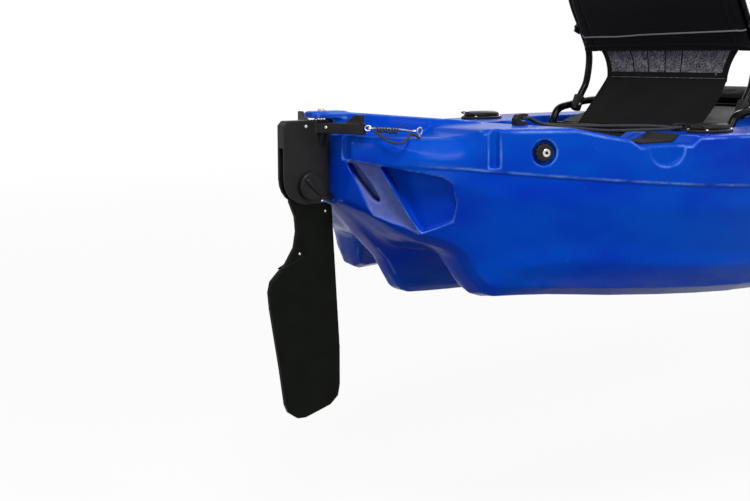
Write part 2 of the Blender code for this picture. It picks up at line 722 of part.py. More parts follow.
def side_scoop(hull, word, side):
    """The shallow round-bottomed scoop in the hull's side, below the notch in the rim."""
    distance, top = SIDE_SCOOP_AT
    outward = side_normal(distance, side)
    way = Vector((outward.y, -outward.x, 0)) * side
    seat = Vector((stern(distance), side * half_beam(distance), 0))
    around = [(-SIDE_SCOOP_HALF, top + 0.02), *((x, top - 0.006 + z) for x, z in
              ((SIDE_SCOOP_HALF * math.cos(a), (SIDE_SCOOP_DROP - 0.006) * math.sin(a))
               for a in (math.radians(180 + 18 * i) for i in range(11)))), (SIDE_SCOOP_HALF, top + 0.02)]
    rings = []
    for out, grow in ((0.02, 1.3), (-SIDE_SCOOP_DEPTH, 0.85)):
        rings.append([seat + way * x * grow + outward * out + Vector((0, 0, top + (z - top) * grow))
                      for x, z in around])
    return combine(hull, skin(f"side_scoop_{word}", rings))


def side_normal(distance, side):
    """The outward direction of the hull's side at a distance forward of the transom."""
    slope = (half_beam(distance + 0.01) - half_beam(distance - 0.01)) / 0.02
    return Vector((-slope, side, 0)).normalized()


def plug_seat(side):
    """Where the side plug's recess meets the hull's side."""
    return Vector((stern(PLUG_AT[0]), side * half_beam(PLUG_AT[0]), PLUG_AT[1]))


def side_plug(word, side):
    """A notched round plug at the bottom of its recess in the hull's side."""
    outward = side_normal(PLUG_AT[0], side)
    floor = plug_seat(side) - outward * PLUG_RECESS_DEPTH
    turn = Vector((0, 0, 1)).rotation_difference(outward).to_matrix().to_4x4()
    rings = []
    for height, inset in ((GAP, 0), (0.009, 0), (0.012, 0.003)):
        ring = []
        for i in range(PLUG_NOTCHES * 3):
            radius = PLUG_RADIUS - inset - (0.0022 if i % 3 == 0 else 0)
            angle = math.tau * i / (PLUG_NOTCHES * 3)
            ring.append(turn @ Vector((radius * math.cos(angle), radius * math.sin(angle), height)) + floor)
        rings.append(ring)
    return skin(f"side_plug_{word}", rings, "black_plastic")


def hatch_seat_height():
    """The height of the ledge that the hatch's lid sits on, below the deck at the hatch's aft end."""
    return along(DECK, HULL_LENGTH - HATCH_AFT) - HATCH_SEAT_DEPTH


def hatch_outline(grow):
    """The bow hatch's outline, grown all round by the given amount."""
    aft, fore = bow(HATCH_AFT) - grow, bow(HATCH_FORE) + grow
    corners = ((aft, -HATCH_HALF_AFT - grow), (fore, -HATCH_HALF_FORE - grow), (fore, HATCH_HALF_FORE + grow),
               (aft, HATCH_HALF_AFT + grow))
    return rounded(corners, 0.045 + grow)


def bow_fittings(hull):
    """The hatch's seat and bucket, and the bow handle's lugs."""
    seat = [[(x, y, z) for x, y in hatch_outline(0.012)] for z in (hatch_seat_height(), 0.5)]
    combine(hull, skin("hatch_seat", seat))
    bucket = [[(x, y, z) for x, y in hatch_outline(-HATCH_LIP - inset)]
              for z, inset in ((HATCH_FLOOR, 0.030), (HATCH_FLOOR + 0.02, 0.012), (0.5, 0))]
    combine(hull, skin("hatch_bucket", bucket))
    for side, word in ((1, "port"), (-1, "starboard")):
        near, far = sorted((side * (BOW_HANDLE_HALF + GAP), side * (BOW_HANDLE_HALF + 0.012)))
        x = bow(BOW_HANDLE_AT)
        lug = box(f"bow_lug_{word}", (x - 0.011, near, 0.40), (x + 0.011, far, bow_handle_height() + 0.009))
        combine(hull, lug, "UNION")


def bow_handle_height():
    return along(DECK, HULL_LENGTH - BOW_HANDLE_AT) + 0.012


def handle_pocket(name, side):
    """A cutter for the carry handle's pocket in the hull's side."""
    near, far = sorted((side * (HALF_BEAM - HANDLE_POCKET_DEPTH), side * (HALF_BEAM + 0.03)))
    x = stern(HANDLE_AT)
    low = (x - HANDLE_HALF - GAP, near, HANDLE_HEIGHT - HANDLE_DROP - 0.020)
    high = (x + HANDLE_HALF + GAP, far, HANDLE_HEIGHT + 0.012)
    return box(name, low, high)


def build_hull():
    hull = hull_skin()
    stern_deck(hull)
    rudder_seat(hull)
    stern_quarters(hull)
    combine(hull, well("tankwell", *TANKWELL))
    for word, shift in (("rear", 0), ("front", SEAT_SPACING)):
        combine(hull, well(f"{word}_seat_deck", *forward_by(REAR_SEAT_DECK, shift)))
        combine(hull, well(f"{word}_seat_well", *forward_by(REAR_SEAT_WELL, shift)))
    for word, knees, feet in (("rear", REAR_KNEE_WELL, REAR_FOOTWELL), ("front", FRONT_KNEE_WELL, FRONT_FOOTWELL)):
        combine(hull, well(f"{word}_knee_well", *knees))
        for side in (1, -1):
            aft, fore, offset, *rest = feet
            combine(hull, well(f"{word}_footwell_{side + 1}", aft, fore, offset * side, *rest, radius=0.035))
    bow_fittings(hull)
    for side, word in ((1, "port"), (-1, "starboard")):
        combine(hull, handle_pocket(f"handle_pocket_{word}", side))
        side_scoop(hull, word, side)
        outward = side_normal(PLUG_AT[0], side)
        recess = cylinder(f"plug_recess_{word}", PLUG_RECESS_RADIUS, 2 * PLUG_RECESS_DEPTH, plug_seat(side), outward)
        combine(hull, recess)
        bore = cylinder(f"rod_bore_{word}", ROD_BORE + ROD_WALL + GAP, ROD_DEPTH + 0.1,
                        (stern(ROD_AT[0]), side * ROD_AT[1], rod_base() - ROD_DEPTH / 2 + 0.05 - GAP))
        combine(hull, bore)
    slot = well("drive_slot", DRIVE_AT - DRIVE_SLOT_LENGTH / 2, DRIVE_AT + DRIVE_SLOT_LENGTH / 2, 0,
                DRIVE_SLOT_HALF, DRIVE_SLOT_HALF, -0.1, radius=0.03, draft=0)
    combine(hull, slot)
    return hull


def rod_base():
    """The height of the block that a rod holder's flange sits on."""
    return along(SHEER, ROD_AT[0])


def rod_holder(word, side):
    """A flush rod holder: an oval flange on a closed tube."""
    x, y, z = stern(ROD_AT[0]), side * ROD_AT[1], rod_base()
    rings = []
    for share, inset in ((0, 0), (0.7, 0), (1, 0.003)):
        edge = oval(ROD_FLANGE[0] - inset, ROD_FLANGE[1] - inset)
        rings.append([(x + a, y + b, z + GAP + share * ROD_FLANGE_THICKNESS) for a, b in edge])
    flange = skin(f"rod_holder_{word}", rings, "black_plastic")
    stem = cylinder(f"rod_stem_{word}", ROD_BORE + ROD_WALL, ROD_DEPTH, (x, y, z + 0.002 - ROD_DEPTH / 2))
    bore = cylinder(f"rod_hole_{word}", ROD_BORE, ROD_DEPTH, (x, y, z + 0.002 - ROD_DEPTH / 2 + ROD_WALL + 0.005))
    combine(flange, stem, "UNION")
    return combine(flange, bore)


def rod_cap(word, side):
    """The domed cap on a rod holder, hinged at its fore end."""
    x, y, z = stern(ROD_AT[0]), side * ROD_AT[1], rod_base() + ROD_FLANGE_THICKNESS + 2 * GAP
    rings = []
    for share, height in ((1, 0), (1, 0.45), (0.93, 0.8), (0.72, 1)):
        edge = oval(share * ROD_CAP[0], share * ROD_CAP[1])
        rings.append([(x + a, y + b, z + ROD_CAP_HEIGHT * height) for a, b in edge])
    return skin(f"rod_cap_{word}", rings, "black_plastic")


def rudder_head():
    """The rudder's head: a slotted case for the blade with a steering yoke across its top."""
    corner = arc((HEAD_AFT + HEAD_CORNER, HEAD_BOTTOM + HEAD_CORNER), HEAD_CORNER, 180, 270, 6)
    outline = [*corner, (CAVITY_FORE, HEAD_BOTTOM), (CAVITY_FORE, HEAD_WEB_BOTTOM), (HEAD_FORE, HEAD_WEB_BOTTOM),
               (HEAD_FORE, HEAD_TOP), (HEAD_AFT + 0.008, HEAD_TOP), (HEAD_AFT, HEAD_TOP - 0.008)]
    to_stern = Matrix.Translation((stern(0), 0, 0))
    head = plate("rudder_head", outline, 2 * HEAD_HALF, to_stern @ SIDE_VIEW, "black_plastic")
    low, high = (stern(-0.2), -BLADE_HALF - GAP, 0.1), (stern(CAVITY_FORE), BLADE_HALF + GAP, CAVITY_TOP)
    combine(head, box("blade_cavity", low, high))
    fore = [(-0.030, 0), (-0.011, 0.026), (0.000, 0.060), (0.0095, 0.093), (0.0100, YOKE_REACH)]
    aft = [(0.001, YOKE_REACH + 0.002), (-0.006, 0.090), (-0.014, 0.060), (-0.026, 0.026)]
    half = fore + aft
    plan = half[1:] + [(-0.045, 0)] + [(x, -y) for x, y in reversed(half[1:])]
    middle = (YOKE_BOTTOM + YOKE_TOP) / 2
    yoke = plate("yoke_bar", plan, YOKE_TOP - YOKE_BOTTOM, Matrix.Translation((stern(0), 0, middle)))
    combine(head, yoke, "UNION")
    for side, word in ((1, "port"), (-1, "starboard")):
        tab = [(0.058, YOKE_TOP - 0.002), (YOKE_REACH, YOKE_TOP - 0.002), (YOKE_REACH, YOKE_TAB_TOP),
               (0.088, YOKE_TAB_TOP)]
        rings = [[(stern(x0 + 0.0089 * (y - 0.058) / 0.047), side * y, z) for y, z in tab]
                 for x0 in (-0.0095, -0.0025)]
        combine(head, skin(f"yoke_tab_{word}", rings), "UNION")
    pin_bore = cylinder("head_pin_bore", PIN_RADIUS + BORE_CLEARANCE, 0.3, (stern(STEER_AXIS), 0, 0.33), sides=16)
    combine(head, pin_bore)
    pivot_bore = cylinder("head_pivot_bore", PIVOT_RADIUS + BORE_CLEARANCE, 0.1,
                          (stern(PIVOT_AT[0]), 0, PIVOT_AT[1]), (0, 1, 0), sides=16)
    return combine(head, pivot_bore)


def rudder_blade():
    """The kick-up blade, round at its top about the pivot."""
    top = arc(PIVOT_AT, BLADE_TOP_RADIUS, 20, 190, 8)
    outline = [*BLADE_OUTLINE, *top]
    blade = plate("rudder_blade", outline, 2 * BLADE_HALF, Matrix.Translation((stern(0), 0, 0)) @ SIDE_VIEW,
                  "black_plastic")
    soften(blade, 0.003, segments=1, angle=60)
    bore = cylinder("blade_pivot_bore", PIVOT_RADIUS + BORE_CLEARANCE, 0.1,
                    (stern(PIVOT_AT[0]), 0, PIVOT_AT[1]), (0, 1, 0), sides=16)
    return combine(blade, bore)


def rudder_bolt():
    """The pivot bolt through the head and the blade, with its head to port and the knob's thread to starboard."""
    out = HEAD_HALF + GAP
    end = -out - KNOB_BORE_DEPTH + GAP
    profile = [(0, out + 0.005), (0.007, out + 0.005), (0.008, out + 0.004), (0.008, out), (PIVOT_RADIUS, out),
               (PIVOT_RADIUS, end), (0, end)]
    return turned("rudder_bolt", profile, (stern(PIVOT_AT[0]), 0, PIVOT_AT[1]), (0, 1, 0), finish="stainless_steel")


def rudder_knob():
    """The big slotted knob that clamps the pivot bolt on the starboard side."""
    near = -HEAD_HALF - GAP
    far = near - KNOB_THICKNESS
    bore = PIVOT_RADIUS + BORE_CLEARANCE
    profile = [(0, near - KNOB_BORE_DEPTH), (bore, near - KNOB_BORE_DEPTH), (bore, near), (KNOB_RADIUS, near),
               (KNOB_RADIUS, near - 0.7 * KNOB_THICKNESS), (KNOB_RADIUS - 0.003, far), (0, far)]
    centre = (stern(PIVOT_AT[0]), 0, PIVOT_AT[1])
    knob = turned("rudder_knob", profile, centre, (0, 1, 0), finish="black_plastic")
    slot = box("knob_slot", (-0.021, far - 0.01, -0.003), (0.021, far + KNOB_SLOT_DEPTH, 0.003))
    slot.data.transform(Matrix.Translation(centre) @ Matrix.Rotation(math.radians(42), 4, "Y"))
    return combine(knob, slot)


def rudder_pin():
    """The headed pin through the tongue, the head's web and the bracket."""
    top = STERN_DECK_TOP + GAP
    bottom = BRACKET_HEIGHT - 0.003
    profile = [(0, top + 0.004), (0.006, top + 0.004), (0.008, top + 0.002), (0.008, top), (PIN_RADIUS, top),
               (PIN_RADIUS, bottom), (0, bottom)]
    return turned("rudder_pin", profile, (stern(STEER_AXIS), 0, 0), (0, 0, 1), sides=16, finish="stainless_steel")


def rudder_bracket():
    """The plate set into the transom that holds the bottom of the rudder pin."""
    outline = [(BRACKET_SET_IN, BRACKET_HALF), *arc((STEER_AXIS, 0), BRACKET_HALF, 90, 270, 8),
               (BRACKET_SET_IN, -BRACKET_HALF)]
    middle = BRACKET_HEIGHT + BRACKET_THICKNESS / 2
    bracket = plate("rudder_bracket", outline, BRACKET_THICKNESS, Matrix.Translation((stern(0), 0, middle)),
                    "stainless_steel")
    bore = cylinder("bracket_bore", PIN_RADIUS + BORE_CLEARANCE, 0.05, (stern(STEER_AXIS), 0, middle), sides=16)
    return combine(bracket, bore)


def eye_height():
    """The height of the middle of a screw eye's loop."""
    return along(SHEER, EYE_AT[0]) + 0.0045 + EYE_RADIUS


def cable_eye(word, side):
    """A screw eye on the stern ledge."""
    x, y = stern(EYE_AT[0]), side * EYE_AT[1]
    ground = along(SHEER, EYE_AT[0]) + GAP
    centre = (x, y, eye_height())
    start = math.radians(-90)
    loop = [(centre[0] + EYE_RADIUS * math.cos(start + a), y, centre[2] + EYE_RADIUS * math.sin(start + a))
            for a in (math.radians(24 * i) for i in range(1, 15))]
    eye = tube(f"cable_eye_{word}", [(x, y, ground), (x, y, ground + 0.003), *loop], EYE_WIRE, "stainless_steel", 1)
    return eye


def steering_cable(word, side):
    """The steering wire from the yoke's tip to its screw eye."""
    end = (EYE_AT[0] - EYE_RADIUS - EYE_WIRE - GAP, EYE_AT[1], eye_height())
    points = [(0.0135, 0.1150, 0.384), (0.032, 0.124, 0.3835), (0.060, 0.136, 0.3815),
              (end[0] - 0.008, 0.1475, end[2]), end]
    route = smooth_route([(stern(x), side * y, z) for x, y, z in points], 4)
    return tube(f"steering_cable_{word}", route, CABLE_RADIUS, "stainless_steel", 1)


def lift_line():
    """The rudder's lift line, which hangs in a bight beside the starboard eye."""
    yoke_end = [(0.0150, 0.1235, YOKE_BOTTOM + 0.006), (0.023, 0.134, YOKE_BOTTOM - 0.0015)]
    ledge = along(SHEER, EYE_AT[0])
    hanging = [(0.029, 0.0201, -0.0066), (0.041, 0.0206, -0.0086), (0.055, 0.0037, -0.0016),
               (0.066, -0.0153, 0.0064), (0.078, -0.0284, 0.0049), (0.089, -0.0366, -0.0016)]
    route = [*yoke_end, *((x, half_beam(x) + beside, ledge + height) for x, beside, height in hanging)]
    return tube("lift_line", smooth_route([(stern(x), -y, z) for x, y, z in route], 4), LINE_RADIUS,
                "black_rubber", 1)


def bungee_hook():
    """The hook at the tankwell's aft edge, on the starboard side."""
    base = along(SHEER, HOOK_AT[0]) + GAP
    corners = [(-0.016, 0), (0.014, 0), (0.014, 0.006), (-0.002, 0.008), (-0.004, 0.013), (0.002, 0.017),
               (0.014, 0.0165), (0.016, 0.020), (0.004, 0.0225), (-0.010, 0.020), (-0.016, 0.012)]
    matrix = Matrix.Translation((stern(HOOK_AT[0]), -HOOK_AT[1], base)) @ SIDE_VIEW
    return plate("bungee_hook", corners, 0.014, matrix, "black_plastic")


def bungee_eye():
    """The moulded pad eye at the tankwell's fore corner, a bridge over a slot."""
    half, top = 0.020, BUNGEE_EYE_SLOT[1] + 0.004
    outline = [(-half, 0), (half, 0), (half, 0.004), (0.014, top), (-0.014, top), (-half, 0.004)]
    low, high, reach = *BUNGEE_EYE_SLOT, 0.010
    slot = [(-reach, low), (-reach, high), (reach, high), (reach, low)]
    at = (stern(BUNGEE_EYE_AT[0]), -BUNGEE_EYE_AT[1], along(SHEER, BUNGEE_EYE_AT[0]) + GAP)
    return plate("bungee_eye", outline, BUNGEE_EYE_WIDTH, Matrix.Translation(at) @ SIDE_VIEW, "black_plastic", [slot])


def bungee():
    """The doubled elastic cord along the tankwell's starboard side, from the hook and through the pad eye."""
    start = (HOOK_AT[0] + 0.0022, along(SHEER, HOOK_AT[0]) + GAP + HOOK_MOUTH)
    x, y = BUNGEE_EYE_AT
    z = along(SHEER, x) + GAP + sum(BUNGEE_EYE_SLOT) / 2
    beside = BUNGEE_EYE_WIDTH / 2 + BUNGEE_RADIUS + GAP
    inner = [(start[0], HOOK_AT[1] - 0.0036, start[1]), (start[0] + 0.014, HOOK_AT[1] - 0.0036, start[1]),
             (start[0] + 0.022, HOOK_AT[1] - 0.0036, start[1] - 0.001),
             (0.350, 0.2085, 0.3855), (0.420, 0.2230, 0.3805), (0.500, 0.2385, 0.3775), (0.590, 0.2560, 0.3755),
             (x - 0.038, y - beside - 0.004, z + 0.002), (x - 0.020, y - beside - 0.0005, z),
             (x - 0.008, y - beside, z)]
    outer = [(x - 0.008, y + beside, z), (x - 0.022, y + beside, z - 0.0003), (0.610, 0.2800, 0.3690),
             (0.500, 0.2500, 0.3690), (0.420, 0.2330, 0.3755), (0.350, 0.2165, 0.3845),
             (start[0] + 0.022, HOOK_AT[1] + 0.0036, start[1] - 0.001),
             (start[0] + 0.014, HOOK_AT[1] + 0.0036, start[1]), (start[0], HOOK_AT[1] + 0.0036, start[1])]
    turn = [(x + 0.0005, y - 0.5 * beside, z), (x + 0.0025, y, z), (x + 0.0005, y + 0.5 * beside, z)]
    route = [(stern(a), -b, c) for a, b, c in (*inner, *turn, *outer)]
    return tube("bungee", smooth_route(route, 2), BUNGEE_RADIUS, "black_rubber")


def seat_point(base, forward, up, side=0):
    """A point of a seat in the row's frame, from its side view."""
    return Vector((stern(base) + forward, side, REAR_SEAT_DECK[5] + MAT_THICKNESS + 2 * GAP + up))


def seat_rail(word, base):
    """The sled frame under a seat: two bent rails and two crossbars."""
    frame = None
    for side in (1, -1):
        route = square_ended([seat_point(base, x, z, side * RAIL_SPREAD) for x, z in SLED], 2)
        rail = tube(f"{word}_seat_rail_{side + 1}", route, RAIL_RADIUS, None if frame else "black_tube")
        if frame:
            combine(frame, rail, "UNION")
        else:
            frame = rail
            frame.name = f"{word}_seat_sled"
    for i, (x, z) in enumerate(CROSSBARS):
        ends = [seat_point(base, x, z, side * RAIL_SPREAD) for side in (-1, 1)]
        combine(frame, tube(f"{word}_crossbar_{i}", ends, CROSSBAR_RADIUS), "UNION")
    for side in (1, -1):
        inner = BACK_SPREAD - BACK_TUBE_RADIUS - 0.003
        middle = seat_point(base, *BACK_PIVOT, side * (inner + RAIL_SPREAD) / 2)
        pin = cylinder(f"{word}_pivot_pin_{side + 1}", SEAT_PIN_RADIUS, RAIL_SPREAD - inner, middle, (0, 1, 0), 12)
        combine(frame, pin, "UNION")
    return frame


def back_profile(up):
    """How far forward of the rear foot the back tube's middle is, at a height above the foot."""
    table = [(z, x) for x, z in ((BACK_PIVOT[0], BACK_PIVOT[1]), *BACK_TUBE, BACK_TUBE_CROWN)]
    return fair(table, up)


def back_tube(name, base, radius, finish=None):
    """The bent tube of a seat's back, an upside-down U, or a cutter of the same route."""
    leg = [(BACK_PIVOT[0] - 0.006, BACK_PIVOT[1] - 0.014), BACK_PIVOT, *BACK_TUBE]
    top_x, top_z = BACK_TUBE_CROWN
    route = [seat_point(base, x, z, BACK_SPREAD) for x, z in leg]
    for drop, inward in ((0.022, 0.004), (0.006, 0.020), (0, 0.045)):
        route.append(seat_point(base, back_profile(top_z - drop), top_z - drop, BACK_SPREAD - inward))
    route.append(seat_point(base, top_x, top_z, 0.08))
    mirrored = [Vector((p.x, -p.y, p.z)) for p in reversed(route)]
    return tube(name, square_ended(route + mirrored, 2), radius, finish)


def seat_back_frame(word, base):
    """The bent tube of a seat's back, which stands on the sled's rails and turns on their pins."""
    frame = back_tube(f"{word}_seat_back_frame", base, BACK_TUBE_RADIUS, "black_tube")
    bore = cylinder(f"{word}_pivot_bore", SEAT_PIN_RADIUS + BORE_CLEARANCE, 1, seat_point(base, *BACK_PIVOT),
                    (0, 1, 0), 12)
    return combine(frame, bore)


def panel(name, base, rows, finish):
    """A soft panel across a seat, as (forward, up, half width, half thickness) rows from the bottom."""
    rings = []
    for x, z, half, thick in rows:
        across = [-1, -0.55, 0, 0.55, 1]
        bulge = [0, 0.75, 1, 0.75, 0]
        front = [seat_point(base, x + thick * (0.4 + 0.6 * b), z, half * a) for a, b in zip(across, bulge)]
        behind = [seat_point(base, x - thick * (0.4 + 0.6 * b), z, half * a) for a, b in zip(across, bulge)]
        rings.append(front + behind[::-1])
    return skin(name, rings, finish)


def seat_backrest(word, base):
    """The padded sleeve over the top of the back tube: crowned and drawn in at its edges, with the tube's channel."""
    wall = BACK_TUBE_RADIUS + BACKREST_WALL
    low, top = BACKREST_BOTTOM + GAP, BACK_TUBE_CROWN[1]
    rings = []
    form = ((low, 0, 0.94, 0.72), (low + 0.014, 0, 1, 0.9), (0.25, 0, 1, 1.35), (0.33, 0, 1, 1.42),
            (0.40, 0, 1, 1.25), (top - 0.022, 0.003, 1, 1.05), (top - 0.006, 0.014, 1, 1),
            (top + 0.005, 0.030, 0.80, 0.80), (top + wall, 0.055, 0.25, 0.25))
    for up, drawn_in, edge, crown in form:
        corner = BACK_SPREAD - drawn_in
        front = [(-corner - wall * math.cos(a), edge * wall * math.sin(a)) for a in map(math.radians, (0, 35, 65, 90))]
        front += [(-0.5 * corner, wall * (edge + 0.75 * (crown - edge))), (0, wall * crown)]
        front += [(-y, x) for y, x in reversed(front[:-1])]
        around = front + [(y, -x) for y, x in reversed(front[1:-1])]
        rings.append([seat_point(base, back_profile(up) + x, up, y) for y, x in around])
    sleeve = skin(f"{word}_seat_backrest", rings, "black_fabric")
    return combine(sleeve, back_tube(f"{word}_tube_channel", base, BACK_TUBE_RADIUS + SLEEVE_CLEARANCE))


def seat_soft_parts(word, base):
    """The backrest, the lumbar mesh, the skirt and the cushion."""
    seat_backrest(word, base)
    inside = BACK_SPREAD - BACK_TUBE_RADIUS - GAP - 0.0006
    rows = []
    for share in (0, 0.35, 0.7, 1):
        up = LUMBAR_BOTTOM + (BACKREST_BOTTOM - LUMBAR_BOTTOM - GAP) * share
        rows.append((back_profile(up), up, WAIST_HALF + (inside - WAIST_HALF) * share ** 1.4, 0.003))
    panel(f"{word}_seat_lumbar_mesh", base, rows, "grey_mesh")
    rows = []
    foot = (CROSSBARS[0][0], CROSSBARS[0][1] + CROSSBAR_RADIUS + GAP)
    top = (back_profile(LUMBAR_BOTTOM), LUMBAR_BOTTOM - SKIRT_CLEARANCE)
    for share in (0, 0.35, 0.7, 1):
        x = foot[0] + (top[0] - foot[0]) * (1 - (1 - share) ** 1.3)
        up = foot[1] + (top[1] - foot[1]) * share
        rows.append((x, up, SKIRT_HALF + (WAIST_HALF - SKIRT_HALF) * share, 0.004))
    panel(f"{word}_seat_skirt", base, rows, "black_fabric")
    seat_cushion(word, base)


def seat_cushion(word, base):
    """The crowned cushion on the sled's crossbars, with its sides drawn in."""
    aft, fore = CUSHION
    low = CROSSBARS[1][1] + CROSSBAR_RADIUS + GAP
    middle = (aft + fore) / 2
    rings = []
    for height, inset in ((0, 0.016), (0.25, 0.002), (0.6, 0), (0.85, 0.012), (1, 0.055)):
        corners = ((aft - middle + inset, -CUSHION_HALF + inset), (fore - middle - inset, -CUSHION_HALF + inset),
                   (fore - middle - inset, CUSHION_HALF - inset), (aft - middle + inset, CUSHION_HALF - inset))
        rings.append([seat_point(base, middle + x, low + CUSHION_THICKNESS * height, y)
                      for x, y in rounded(corners, 0.045 - 0.4 * inset, 3)])
    return skin(f"{word}_seat_cushion", rings, "black_fabric")


def deck_mat(word, base_shift):
    """The pad on the seat deck that the rear feet stand on."""
    aft, fore = stern(MAT_AFT + base_shift), stern(MAT_FORE + base_shift)
    floor = REAR_SEAT_DECK[5] + GAP
    corners = ((aft, -MAT_HALF), (fore, -MAT_HALF), (fore, MAT_HALF), (aft, MAT_HALF))
    outline = rounded(corners, WELL_RADIUS)
    return skin(f"{word}_deck_mat", [[(x, y, floor + h) for x, y in outline] for h in (0, MAT_THICKNESS)],
                "black_rubber")


def pedal(name, at, offset, floor):
    """A foot pedal: a leaning pad on a base that slides along the footwell's floor."""
    x = stern(at)
    half = PEDAL_WIDTH / 2
    low = (x - PEDAL_BASE / 2, offset - half, floor + GAP)
    base = box(name, low, (x + PEDAL_BASE / 2, offset + half, floor + GAP + 0.008), "black_plastic")
    corners = ((0, 0), (PEDAL_WIDTH, 0), (PEDAL_WIDTH, PEDAL_HEIGHT), (0, PEDAL_HEIGHT))
    outline = [(p - half, q) for p, q in rounded(corners, 0.018)]
    upright = Matrix(((0, 0, 1, x), (1, 0, 0, offset), (0, 1, 0, floor + 0.004), (0, 0, 0, 1)))
    leaning = upright @ Matrix.Rotation(math.radians(-18), 4, "X")
    pad = plate(f"{name}_pad", outline, PEDAL_THICKNESS, leaning)
    return combine(base, pad, "UNION")


def pedals():
    for word, at, footwell in (("rear", REAR_PEDAL_AT, REAR_FOOTWELL), ("front", FRONT_PEDAL_AT, FRONT_FOOTWELL)):
        for side, side_word in ((1, "port"), (-1, "starboard")):
            offset = footwell[2] * side
            pedal(f"{word}_pedal_{side_word}", at, offset, footwell[5])


def rounded_slab(name, x, length, half, low, height, radius, crown, finish):
    """A moulded case: a rounded outline that draws in towards its crowned top."""
    rings = []
    for share, inset in ((0, 0), (0.12, 0), (0.16, 0.010), (0.70, 0.014), (0.90, 0.022), (1, crown)):
        corners = ((x - length / 2 + inset, -half + inset), (x + length / 2 - inset, -half + inset),
                   (x + length / 2 - inset, half - inset), (x - length / 2 + inset, half - inset))
        rings.append([(a, b, low + height * share) for a, b in rounded(corners, radius)])
    return skin(name, rings, finish)


def drive_top():
    return REAR_KNEE_WELL[5] + GAP + HOUSING_HEIGHT


def drive_housing():
    """The drive's housing on the console, with two bosses for the lifting bail."""
    x = stern(DRIVE_AT)
    low = REAR_KNEE_WELL[5] + GAP
    housing = rounded_slab("drive_housing", x, HOUSING_LENGTH, HOUSING_HALF, low, HOUSING_HEIGHT, 0.030, 0.040,
                           "black_plastic")
    for side in (1, -1):
        near, far = sorted((side * (BAIL_HALF + GAP), side * (BAIL_HALF + 0.010)))
        boss = box(f"bail_boss_{side + 1}", (x + BAIL_FORWARD - 0.010, near, drive_top() - 0.015),
                   (x + BAIL_FORWARD + 0.010, far, drive_top() + 0.012))
        combine(housing, boss, "UNION")
    return housing


def drive_leg():
    """The streamlined leg and the motor pod at its foot."""
    x = stern(DRIVE_AT)
    section = [(LEG_CHORD / 2 * math.cos(a), LEG_THICKNESS / 2 * math.sin(a) * (1 + 0.35 * math.cos(a)))
               for a in (math.tau * i / 16 for i in range(16))]
    top = REAR_KNEE_WELL[5]
    leg = skin("drive_leg", [[(x + p, q, z) for p, q in section] for z in (top, POD_HEIGHT)], "black_plastic")
    profile = [(0, POD_LENGTH / 2)]
    for i in range(1, 8):
        angle = math.pi * i / 8
        profile.append((POD_RADIUS * math.sin(angle) ** 0.6, POD_LENGTH / 2 * math.cos(angle)))
    profile[-1] = (HUB_RADIUS, -POD_LENGTH / 2)
    pod = turned("motor_pod", [*profile, (0, -POD_LENGTH / 2)], (x, 0, POD_HEIGHT), (1, 0, 0), sides=20)
    return combine(leg, pod, "UNION")


def propeller():
    """A two-bladed propeller: twisted foil sections on a hub with a pointed nut."""
    x = stern(DRIVE_AT) - POD_LENGTH / 2 - GAP
    profile = [(0, 0), (HUB_RADIUS, 0), (HUB_RADIUS, -0.6 * HUB_LENGTH), (0.6 * HUB_RADIUS, -0.9 * HUB_LENGTH),
               (0, -HUB_LENGTH)]
    hub = turned("propeller", profile, (x, 0, POD_HEIGHT), (1, 0, 0), sides=20, finish="black_plastic")
    foil = ((-0.5, 0), (-0.2, 0.055), (0.15, 0.055), (0.5, 0), (0.15, -0.03), (-0.2, -0.03))
    for side in (1, -1):
        rings = []
        for share in (0.08, 0.25, 0.45, 0.65, 0.82, 0.94, 1):
            radius = PROPELLER_RADIUS * share
            chord = BLADE_CHORD * (0.62 + 0.9 * share - 0.95 * share ** 3.5)
            pitch = math.atan2(0.085, math.tau * max(radius, 0.02))
            ring = []
            for p, q in foil:
                along_chord, off = p * chord, q * chord * (1.3 - 0.8 * share)
                forward = along_chord * math.sin(pitch) + off * math.cos(pitch)
                sideways = along_chord * math.cos(pitch) - off * math.sin(pitch)
                ring.append((x - 0.3 * HUB_LENGTH + forward, side * sideways, POD_HEIGHT + side * radius))
            rings.append(ring)
        combine(hub, skin(f"propeller_blade_{side + 1}", rings), "UNION")
    return hub


def throttle_lever():
    """The throttle: a hub on the housing with a lever and a ball grip."""
    centre = Vector((stern(DRIVE_AT) + THROTTLE_FORWARD, 0, drive_top() + GAP + THROTTLE_HUB))
    hub = cylinder("throttle_lever", THROTTLE_HUB, 0.030, centre, (0, 1, 0), 20, "black_plastic")
    top = centre + Vector((0, 0, THROTTLE_REACH))
    arm = tube("throttle_arm", [centre, top], 0.005)
    combine(hub, arm, "UNION")
    ball = [(0, 0.014), (0.007, 0.0125), (0.012, 0.006), (0.0125, -0.001), (0.009, -0.010), (0, -0.013)]
    return combine(hub, turned("throttle_grip", ball, top, (0, 0, 1), sides=16), "UNION")


def drive_bail():
    """The bail that lifts the drive out, lying on the housing."""
    x = stern(DRIVE_AT) + BAIL_FORWARD
    height = drive_top() + BAIL_HEIGHT
    half, inner = BAIL_HALF, BAIL_HALF - 0.010
    route = [(x, half, height), (x, half - 0.003, height), (x - 0.006, inner + 0.001, height),
             (x - 0.020, inner, height), (x - BAIL_LENGTH + 0.02, inner, height),
             (x - BAIL_LENGTH, inner - 0.02, height), (x - BAIL_LENGTH, 0, height)]
    route += [(p, -q, r) for p, q, r in reversed(route[:-1])]
    return tube("drive_bail", square_ended(route, 2), BAIL_RADIUS, "black_tube")


